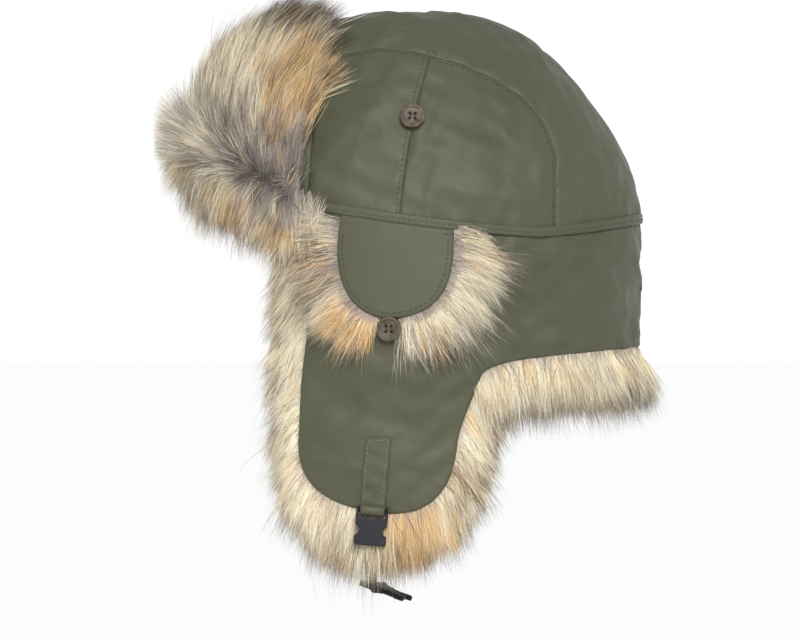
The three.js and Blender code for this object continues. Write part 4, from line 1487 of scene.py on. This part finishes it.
def build_vent(side, word):
    body = f"vent_flap_{word}"
    to_hat = wall_chart(side)
    edge = vent_edge()
    top = rim_line(15.8, -53, rise=-0.2 * MM)
    loop = side_to_wall(np.concatenate([edge, top[1:-1]]))
    panel = Panel(loop, to_hat, lift=vent_lift, pinch=1.0, pinch_width=1.8, pucker=0.22, seed=90 + side,
                  folds=False)
    declare(panel.build(f"vent_flap_cloth_{word}", NYLON), body, "nylon_shell", f"vent_flap_shell_{word}")
    line = panel.inset_line(3.2)
    rows = [panel_row(panel, line[run]) for run in runs(line[:, 1] < -7 * MM)]
    declare(stitches(f"vent_flap_stitching_{word}", rows, THREAD), body, "thread")

    fur_loop = side_to_wall(trace(
        (-52, -11), ((-52, -43), (-39.5, -55.8), (-22, -56)), ((1.5, -56), (12.5, -43), (14, -14))))
    under = Panel(fur_loop, to_hat, lift=vent_fur_lift, pinch=0.6, pinch_width=4, pucker=0.3, seed=95,
                  folds=False)
    base = under.build(f"vent_flap_pelt_{word}", PELT, spacing=3, thickness=0.5 * MM)
    declare(base, body, "faux_fur", f"vent_flap_fur_{word}")

    def inner_face(count, number, _):
        rng = np.random.default_rng(1950 + number + side)
        spots = rng.uniform(fur_loop.min(0), fur_loop.max(0), (count * 2, 2))
        spots = spots[inside(spots, fur_loop)][:count]
        axes = surface_axes(side, spots[:, 0] / WALL_RADIUS, spots[:, 1], vent_cover(spots[:, 1]) - 0.4 * MM)
        spread = (spots[:, 0] - fur_loop[:, 0].mean()) / (30 * MM)
        aim = direction(axes, spread, -0.9, -0.12)
        return {
            "root": axes[0], "normal": -axes[1], "aim": aim, "fall": aim,
            "length": rng.uniform(10, 15, len(spots)) * MM,
            "kinds": tint_shares(axes[0], 0.1, taupe=0.25),
        }

    def fringe(count, number, guard):
        locks = edge_locks(side_to_wall(edge), side, count, 1800 + 40 * number + side, tuck=(-2, 5),
                           depth=(0, 0.8), outward=0.85, down=0.5, length=(23, 36) if guard else (15, 27),
                           out=0.25, fall_out=0.03, tips=0.5 if guard else 0.1, wander=0.32,
                           cover=vent_cover, taupe=0.2)
        at_button = np.abs(locks["root"][:, 1] - VENT_BUTTON_Y) < VENT_BUTTON_ROOM
        clear = ~(at_button & (locks["root"][:, 2] < -40 * MM))
        locks = {key: value[clear] for key, value in locks.items()}
        locks["length"] = locks["length"] * (1 + 0.18 * smooth(-20 * MM, 20 * MM, locks["root"][:, 1]))
        return locks

    grow(f"vent_flap_inner_{word}", body, inner_face, (("under", 260, 22),), lock_radius=3.2, width=0.34,
         clump=0.3)
    grow(f"vent_flap_fringe_{word}", body, fringe, VENT_LAYERS, lock_radius=2.8)


# ---- Inside the crown ----
LINING_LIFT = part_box("crown_lining")[1].x - HALF_WIDTH
BAND_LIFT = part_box("inner_head_band")[1].x - HALF_WIDTH
WADDING_LIFT = -3.4 * MM
WADDING_THICK = 4.2 * MM


def build_inside():
    """The wadding under the crown's panels, the lining, and the tape round its lower edge."""
    whole_side = side_panel_outline()
    loops = {"left": side_to_disc(whole_side, 1), "right": side_to_disc(whole_side, -1),
             "top": top_panel_loop()}
    for number, (key, loop) in enumerate(loops.items()):
        panel = Panel(loop, disc_to_hat, lift=WADDING_LIFT, pinch=1.2, pinch_width=8, pucker=0.5,
                      seed=210 + number, folds=False)
        pad = panel.build(f"wadding_{key}", WADDING, spacing=4.5, thickness=WADDING_THICK)
        declare(pad, "crown", "wadding", f"crown_wadding_{key}")

    panel = Panel(rim_on_disc(-math.pi, math.pi, 1.5 * MM), disc_to_hat, lift=LINING_LIFT, pinch=0,
                  pucker=0.9, seed=214, folds=False)
    lining = panel.build("crown_lining_cloth", LINING, spacing=3.6, thickness=0.35 * MM)
    declare(lining, "crown", "lining_satin", "crown_lining")

    angle = np.linspace(-math.pi, math.pi, 361)[:-1]
    base = rim_at_angle(angle)
    profile = ((0.9, 0), (4, 0.25), (9, 0.2), (12, 0), (12, -0.7), (6, -0.5), (0.9, -0.7))
    rings = np.stack([on_hat(angle, base + up * MM, BAND_LIFT + out * MM) for up, out in profile], 1)
    faces = ring_faces(len(angle), len(profile), closed=True)
    tape = add_mesh("head_band_tape", rings.reshape(-1, 3), faces, BAND)
    declare(tape, "crown", "band_tape", "inner_head_band")


def build_back_tab():
    """A short folded tab that sticks out of the skirt's back seam."""
    low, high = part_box("back_tab")
    middle = (low.y + high.y) / 2
    turn = np.linspace(0, math.pi, 9)
    bottom = low.z + 0.7 * MM
    line = [(0, high.y - 0.25 * MM, high.z)]
    line += [(0, middle + 0.6 * MM * math.cos(t), bottom - 0.5 * MM * math.sin(t)) for t in turn]
    line.append((0, low.y + 0.25 * MM, high.z))
    tab = band("back_tab_fold", resample(np.array(line), 0.5 * MM), (1, 0, 0), high.x - low.x, 0.5 * MM,
               BAND)
    declare(tab, "crown", "band_tape", "back_tab")


# ---- Visor and brow ----
VISOR_REACH = 0.9  # half the visor's plan angle, from the middle of the front


def visor_loop(angles):
    """The visor's outline on the wall chart: the seam below, and a top edge that is lower at the sides."""
    bottom = np.stack([angles * WALL_RADIUS, rim_at_angle(angles, 2 * MM)], -1)
    top_z = 100 * MM - 14 * MM * np.abs(np.sin(angles + math.pi / 2))
    top = np.stack([angles * WALL_RADIUS, top_z], -1)[::-1]
    return np.concatenate([bottom, top])


def brow_loop(angles):
    upper = rim_at_angle(angles, -1 * MM)
    lower = upper - 22 * MM
    return np.concatenate([np.stack([angles * WALL_RADIUS, upper], -1),
                           np.stack([angles * WALL_RADIUS, lower], -1)[::-1]])


def build_visor():
    """The visor's cloth back, its pelt and its hair, and the fur that hangs over the brow."""
    angles = np.linspace(-math.pi / 2 - VISOR_REACH, -math.pi / 2 + VISOR_REACH, 60)
    loop = visor_loop(angles)
    to_hat = wall_chart(1)
    shell = Panel(loop, to_hat, lift=2.2 * MM, pinch=0.8, pinch_width=3, pucker=0.3, seed=96, folds=False)
    back = shell.build("visor_shell_cloth", NYLON, spacing=3, thickness=0.8 * MM)
    declare(back, "visor", "nylon_shell", "visor_shell")

    def pile(points):
        return visor_pile(visor_forward(points[:, 1]), points[:, 2]) * 0.72

    panel = Panel(loop, to_hat, lift=pile, pinch=3, pinch_width=8, pucker=1.0, seed=97, folds=False)
    base = panel.build("visor_pelt", PELT, spacing=3.4, thickness=2.4 * MM)
    declare(base, "visor", "faux_fur", "visor_fur")
    grow("visor_fur", "visor", lambda count, number, guard: visor_locks(count, 300 + number, guard),
         VISOR_LAYERS)

    pelt("brow_pelt", brow_loop(angles), to_hat, 2.6, 10, 98, "crown", "forehead_fur")
    brow_fur = grow("brow_fur", "crown",
                    lambda count, number, guard: brow_locks(count, 340 + number, guard), BROW_LAYERS)
    for hairs in brow_fur:
        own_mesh(hairs)


# ---- Buttons ----
# Half a button's section, in mm: (distance from its axis, height above its back).
BUTTON_PROFILE = ((0, 0.35), (3.4, 0.2), (5.9, 0.1), (6.9, 0.5), (7.5, 1.2), (7.65, 1.9), (7.35, 2.6),
                  (6.75, 3.0), (6.2, 2.95), (5.75, 2.55), (5.4, 2.2), (4.6, 2.05), (2.0, 2.0), (0, 2.0))
BUTTON_HOLE_OFFSET = 1.55
BUTTON_HOLE_RADIUS = 0.85
BUTTON_HALF_HEIGHT = 1.5 * MM
ABOVE_FUR = 1.6 * MM  # the vent buttons stand higher, on the fringe
# A stitch from hole to hole, in mm: (share of the way, height above the button's back).
THREAD_ARCH = ((-1, 0.9), (-0.8, 2.05), (0, 2.3), (0.8, 2.05), (1, 0.9))


def lathe(profile):
    """Vertices and faces of a profile of (radius, height) turned about Z, from axis to axis."""
    segments = 56
    turn = np.arange(segments) * 2 * math.pi / segments
    vertices = [(0, 0, profile[0][1])]
    for radius, height in profile[1:-1]:
        vertices += [(radius * math.cos(t), radius * math.sin(t), height) for t in turn]
    vertices.append((0, 0, profile[-1][1]))
    faces = []
    rings = len(profile) - 2
    for k in range(segments):
        following = (k + 1) % segments
        faces.append((0, 1 + following, 1 + k))
        for ring in range(rings - 1):
            a = 1 + ring * segments
            faces.append((a + k, a + following, a + segments + following, a + segments + k))
        last = 1 + (rings - 1) * segments
        faces.append((last + k, last + following, len(vertices) - 1))
    return np.array(vertices) * MM, faces


def tube(points, radius, sides):
    """Vertices and faces of a round bar along a line, closed at both ends."""
    points = np.asarray(points, float)
    tangent = unit(np.gradient(points, axis=0))
    helper = np.array([0.31, 0.52, 0.79])
    across = unit(np.cross(tangent, helper))
    other = np.cross(tangent, across)
    turn = np.arange(sides) * 2 * math.pi / sides
    ring = across[:, None] * np.cos(turn)[None, :, None] + other[:, None] * np.sin(turn)[None, :, None]
    vertices = (points[:, None] + ring * radius).reshape(-1, 3)
    return vertices, ring_faces(len(points), sides)


def cut(piece, vertices, faces):
    """Takes a closed shape away from the piece."""
    cutter = add_mesh("cutter", vertices, faces, BUTTON)
    modifier = piece.modifiers.new("cut", "BOOLEAN")
    modifier.operation = "DIFFERENCE"
    modifier.solver = "EXACT"
    modifier.object = cutter
    apply_modifiers(piece)
    bpy.data.objects.remove(cutter)


def surface_matrix(side, node):
    """The frame of a button: z is the cloth's outward normal under it, y runs up the cloth."""
    low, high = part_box(node)
    y, z = (low.y + high.y) / 2, (low.z + high.z) / 2
    angle = angle_at(y, z)
    axes = surface_axes(side, np.array([angle]), np.array([z]), 0.0)
    normal, up = axes[1][0], axes[3][0]
    across = unit(np.cross(up, normal))
    up = np.cross(normal, across)
    matrix = Matrix([(*across, 0), (*up, 0), (*normal, 0), (0, 0, 0, 1)]).transposed()
    middle = (low + high) / 2
    above_fur = ABOVE_FUR if node.startswith("vent") else 0
    matrix.translation = middle + Vector(normal) * (above_fur - BUTTON_HALF_HEIGHT)
    return matrix


def button_thread():
    """Two strands of thread over each of the two pairs of holes."""
    strands = []
    for x in (1, -1):
        for shift in (-0.22, 0.22):
            line = [(x * BUTTON_HOLE_OFFSET + shift, share * BUTTON_HOLE_OFFSET, height)
                    for share, height in THREAD_ARCH]
            strands.append(tube(np.array(line) * MM, 0.2 * MM, 6))
    return merged(strands)


def build_button(side, node):
    piece = add_mesh(f"{node}_turned", *lathe(BUTTON_PROFILE), BUTTON)
    hole_at = BUTTON_HOLE_OFFSET * MM
    for x in (hole_at, -hole_at):
        for y in (hole_at, -hole_at):
            cut(piece, *tube([(x, y, -1 * MM), (x, y, 5 * MM)], BUTTON_HOLE_RADIUS * MM, 16))
    piece.data.shade_smooth()
    matrix = surface_matrix(side, node)
    piece.data.transform(matrix)
    declare(piece, "crown", "button_plastic", node)
    thread = add_mesh(f"{node}_stitches", *button_thread(), THREAD)
    thread.data.transform(matrix)
    declare(thread, "crown", "thread")


def build_buttons():
    for side, word in SIDES:
        for place in ("crown", "vent"):
            build_button(side, f"{place}_button_{word}")


# ---- Straps and buckle ----
STRAP_HALF = 7.5
STRAP_HEAD = (-28.8, -129)
STRAP_FOOT = {1: (-33, -173), -1: (-33.4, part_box("strap_tail")[1].z / MM + 0.7)}
TURN_RADIUS = 2.7 * MM  # of the webbing round a buckle's bar
TAIL_TWIST = math.radians(68)
TAIL_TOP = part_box("strap_tail")[1].z
TAIL_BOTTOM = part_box("strap_tail")[0].z
TAIL_STRAIGHT = 20 * MM


def band(name, centres, across, width, thickness, material, closed=False):
    """A flat strap with rounded edges along a line; across is its width's direction at each point."""
    centres = np.asarray(centres, float)
    across = unit(np.broadcast_to(np.asarray(across, float), centres.shape))
    if closed:
        tangent = unit(np.roll(centres, -1, 0) - np.roll(centres, 1, 0))
    else:
        tangent = unit(np.gradient(centres, axis=0))
    normal = np.cross(tangent, across)
    half, deep = width / 2, thickness / 2
    flat = half - 0.25 * thickness
    profile = [(-flat, -deep), (-half * 0.5, -deep), (0, -deep), (half * 0.5, -deep), (flat, -deep),
               (half, 0), (flat, deep), (half * 0.5, deep), (0, deep), (-half * 0.5, deep), (-flat, deep),
               (-half, 0)]
    rings = np.stack([centres + across * a + normal * b for a, b in profile], 1)
    faces = ring_faces(len(centres), len(profile), closed)
    return add_mesh(name, rings.reshape(-1, 3), faces, material)


def ring_round(centre, axis, radius):
    """Points of a circle about an axis."""
    axis = unit(np.asarray(axis, float))
    first = unit(np.cross(axis, [0.2, 0.1, 1]))
    second = np.cross(axis, first)
    turn = np.linspace(0, 2 * math.pi, 33)[:-1]
    return centre + radius * (first * np.cos(turn)[:, None] + second * np.sin(turn)[:, None])


def build_sewn_strap(side, word, flap):
    """The nylon strap sewn flat on the ear flap's cloth, with its stitched edges."""
    head_y, head_z = STRAP_HEAD
    foot_y, foot_z = STRAP_FOOT[side]
    corners = ((head_y - STRAP_HALF, head_z), (foot_y - STRAP_HALF, foot_z),
               (foot_y + STRAP_HALF, foot_z), (head_y + STRAP_HALF, head_z))
    loop = side_to_wall(trace(*corners, corners[0])[:-1])

    def lift(points):
        y, z = points[:, 1] / MM, points[:, 2] / MM
        ripple = np.sin(0.55 * z + 0.2 * y) * smooth(-132, -140, z)
        past_edge = smooth(-160, -171, z)
        return (1.55 + 0.26 * ripple + 0.8 * past_edge) * MM

    panel = Panel(loop, wall_chart(side), flap, lift=lift, pinch=0.5, pinch_width=1.2, pucker=0.2,
                  seed=130 + side, folds=False)
    piece = panel.build(f"strap_{word}_cloth", NYLON_TRIM, spacing=1.2, thickness=1.3 * MM)
    declare(piece, f"ear_flap_{word}", "nylon_trim", f"strap_{word}")
    line = panel.inset_line(1.7, 0.6)
    rows = [panel_row(panel, line[run]) for run in runs(line[:, 1] > (foot_z + 2.5) * MM)]
    declare(stitches(f"strap_{word}_stitching", rows, THREAD_LIGHT), f"ear_flap_{word}", "thread")


def strap_turn(name, joint, material):
    """The webbing's turn round the bar of a buckle, which lies on a joint's axis."""
    axis = np.array(JOINTS[joint]["axis"])
    centres = ring_round(np.array(JOINTS[joint]["pos_m"]), axis, TURN_RADIUS)
    return band(name, centres, axis, (2 * STRAP_HALF - 0.4) * MM, 1.2 * MM, material, closed=True)


def build_tail():
    """The free end of the right strap, which twists as it hangs down to the buckle."""
    low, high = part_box("strap_tail")
    x, y = (low.x + high.x) / 2, (low.y + high.y) / 2
    down = np.linspace(0, TAIL_TOP - TAIL_BOTTOM, 30)
    turned = TAIL_TWIST * np.minimum(1, down / (TAIL_TOP - TAIL_BOTTOM - TAIL_STRAIGHT))
    across = np.stack([-np.sin(turned), np.cos(turned), np.zeros_like(turned)], -1)
    centres = np.stack([np.full_like(down, x), np.full_like(down, y), TAIL_TOP - down], -1)
    tail = band("strap_tail_cloth", centres, across, 2 * STRAP_HALF * MM, 1.1 * MM, WEBBING)
    declare(tail, "tail", "nylon_trim", "strap_tail")


def build_straps(flaps):
    for side, word in SIDES:
        build_sewn_strap(side, word, flaps[word])
    declare(strap_turn("strap_left_turn", "female_buckle_swing", NYLON_TRIM), "ear_flap_left", "nylon_trim")
    build_tail()
    declare(strap_turn("strap_right_turn", "male_buckle_tilt", WEBBING), "tail_loop", "nylon_trim",
            "strap_loop")


def extruded(outline, depth):
    """Vertices and faces of a flat outline in (Y, Z), given a depth along X about its middle."""
    count = len(outline)
    vertices = [(x, y, z) for x in (-depth / 2, depth / 2) for y, z in outline]
    faces = [tuple(reversed(range(count))), tuple(range(count, 2 * count))]
    for k in range(count):
        following = (k + 1) % count
        faces.append((k, following, count + following, count + k))
    return np.array(vertices) * MM, faces


def bevelled(piece, width):
    """Rounds the sharp edges."""
    modifier = piece.modifiers.new("bevel", "BEVEL")
    modifier.width = width
    modifier.segments = 3
    modifier.limit_method = "ANGLE"
    modifier.angle_limit = math.radians(38)
    modifier.harden_normals = True
    apply_modifiers(piece)


# The buckle's socket, in mm, with its bar at the origin and its mouth below.
SOCKET_HALF = 9.65
SOCKET_THICK = 6.4
SOCKET_MOUTH = (3.8, 15.8, -22, -9)  # thickness, width, and the heights it lies between
NOTCH_Z = -12
NOTCH_RADIUS = 3
SOCKET_TILT = math.radians(-5)
BOX_FACES = [(0, 1, 3, 2), (4, 6, 7, 5), (0, 4, 5, 1), (2, 3, 7, 6), (0, 2, 6, 4), (1, 5, 7, 3)]


def socket_body():
    """The moulded body: a finger notch in each side, and a mouth for the tongue half."""
    turn = np.linspace(-1.42, 1.42, 15)
    notch = [(SOCKET_HALF + 0.4 - NOTCH_RADIUS * math.cos(a), NOTCH_Z + NOTCH_RADIUS * math.sin(a))
             for a in turn]
    right = [(8.5, -21), (SOCKET_HALF, -19.8), (SOCKET_HALF, -15.4), *notch, (SOCKET_HALF, -8.6),
             (SOCKET_HALF, -4.9), (8.6, -4.3), (4.5, -4.8), (0, -5.0)]
    left = [(-y, z) for y, z in reversed(right[:-1])]
    body = add_mesh("buckle_female_body", *extruded(right + left, SOCKET_THICK), BLACK)
    bevelled(body, 0.8 * MM)
    deep, wide, bottom, top = SOCKET_MOUTH
    mouth = [(x, y, z) for x in (-deep / 2, deep / 2) for y in (-wide / 2, wide / 2) for z in (bottom, top)]
    cut(body, np.array(mouth) * MM, BOX_FACES)
    body.data.shade_smooth()
    return body


def socket_post(name, hand):
    """One of the two posts that hold the bar."""
    outline = [(hand * y, z) for y, z in (
        (8.1, -5.5), (SOCKET_HALF, -5.5), (SOCKET_HALF, 1.6), (8.9, 2.6), (8.1, 2.6))]
    post = add_mesh(name, *extruded(outline[::hand], 3.4), BLACK)
    bevelled(post, 0.5 * MM)
    return post


def build_female_half():
    """The buckle's socket on the left strap."""
    tilt = Matrix.Rotation(SOCKET_TILT, 4, "X")
    place = Matrix.Translation(JOINTS["female_buckle_swing"]["pos_m"]) @ tilt
    body = socket_body()
    body.data.transform(place)
    declare(body, "female_half", "buckle_plastic", "buckle_female")
    extras = [socket_post("buckle_female_post_left", 1), socket_post("buckle_female_post_right", -1)]
    line = [(0, -9 * MM, 0), (0, 9 * MM, 0)]
    extras.append(add_mesh("buckle_female_bar", *tube(line, 1.4 * MM, 20), BLACK))
    for extra in extras:
        extra.data.transform(place)
        declare(extra, "female_half", "buckle_plastic")


def build_male_half():
    """The buckle's tongue half: the CAD's own shapes, with moulded edges."""
    for node, body in (("buckle_male", "male_half"), ("buckle_prong_near", "prong_near"),
                       ("buckle_prong_far", "prong_far")):
        mesh = frame["nodes"][node].data.copy()
        piece = bpy.data.objects.new(f"{node}_moulded", mesh)
        bpy.context.collection.objects.link(piece)
        mesh.materials.clear()
        mesh.materials.append(BLACK)
        weld = piece.modifiers.new("weld", "WELD")
        weld.merge_threshold = 0.01 * MM
        flat = piece.modifiers.new("flat", "DECIMATE")
        flat.decimate_type = "DISSOLVE"
        flat.angle_limit = math.radians(2)
        bevelled(piece, 0.55 * MM)
        piece.data.shade_smooth()
        declare(piece, body, "buckle_plastic", node)


# ---- CAD nodes that keep their shape ----
def dress_nodes():
    """Procedural materials for the nodes that stay as the CAD made them."""
    finishes = {"visor_stiffener": FOAM}
    for _, word in SIDES:
        finishes[f"vent_loop_{word}"] = ELASTIC
        for place in ("crown", "vent"):
            finishes[f"{place}_button_thread_{word}"] = THREAD
    for name, material in finishes.items():
        node = frame["nodes"][name]
        for slot in node.material_slots:
            slot.material = material


# ---- Stage ----
FLOOR_GAP = 65 * MM  # the hat hangs a little above the floor
FLOOR_HALF = 30
SUN_FROM = (0.88, 0.06, 0.45)
SUN_POWER = 2.9
SUN_SOFTNESS = math.radians(22)
SKY_POWER = 1.06


def build_floor():
    z = cad_low.z - FLOOR_GAP
    corners = [(-FLOOR_HALF, -FLOOR_HALF, z), (FLOOR_HALF, -FLOOR_HALF, z), (FLOOR_HALF, FLOOR_HALF, z),
               (-FLOOR_HALF, FLOOR_HALF, z)]
    add_mesh("floor", corners, [(0, 1, 2, 3)], new_material("floor", (0.98, 0.98, 0.98), 1.0))


def build_sky():
    """White all round and below, and greyer overhead."""
    world = bpy.data.worlds.new("studio")
    bpy.context.scene.world = world
    world.use_nodes = True
    nodes, links = world.node_tree.nodes, world.node_tree.links
    place = nodes.new("ShaderNodeTexCoord")
    split = nodes.new("ShaderNodeSeparateXYZ")
    ramp = nodes.new("ShaderNodeValToRGB")
    links.new(place.outputs["Generated"], split.inputs["Vector"])
    links.new(split.outputs["Z"], ramp.inputs["Fac"])
    links.new(ramp.outputs["Color"], nodes["Background"].inputs["Color"])
    low, high = ramp.color_ramp.elements
    low.position = 0.15
    low.color = (1, 1, 1, 1)
    high.position = 0.45
    high.color = (0.5, 0.5, 0.51, 1)
    nodes["Background"].inputs["Strength"].default_value = SKY_POWER


def build_stage():
    build_floor()
    build_sky()
    bpy.context.scene.view_settings.view_transform = "Standard"
    sun = bpy.data.lights.new("key", "SUN")
    sun.energy = SUN_POWER
    sun.angle = SUN_SOFTNESS
    lamp = bpy.data.objects.new("key", sun)
    lamp.rotation_euler = Vector(SUN_FROM).to_track_quat("Z", "Y").to_euler()
    bpy.context.collection.objects.link(lamp)


VIEW_WIDTH = 0.480
VIEW_DISTANCE = 14.0
VIEW_RISE = math.radians(0.3)
VIEW_TARGET = Vector((0.06, -0.0165, -0.059))
SENSOR_WIDTH = 36  # in mm, as Blender has it


def build_camera():
    """A long lens from the wearer's left."""
    back = Vector((math.cos(VIEW_RISE), 0, math.sin(VIEW_RISE)))
    data = bpy.data.cameras.new("camera")
    data.sensor_width = SENSOR_WIDTH
    data.lens = SENSOR_WIDTH * VIEW_DISTANCE / VIEW_WIDTH
    camera = bpy.data.objects.new("camera", data)
    camera.location = VIEW_TARGET + back * VIEW_DISTANCE
    camera.rotation_euler = back.to_track_quat("Z", "Y").to_euler()
    bpy.context.collection.objects.link(camera)
    bpy.context.scene.camera = camera


build_camera()
build_stage()
build_crown()
build_welt()
flap_cloths = {}
for side, word in SIDES:
    flap_cloths[word] = build_skirt(side, word)
    build_vent(side, word)
build_pelts_and_linings()
build_edge_fur()
build_visor()
build_buttons()
build_straps(flap_cloths)
build_female_half()
build_male_half()
build_inside()
build_back_tab()
dress_nodes()
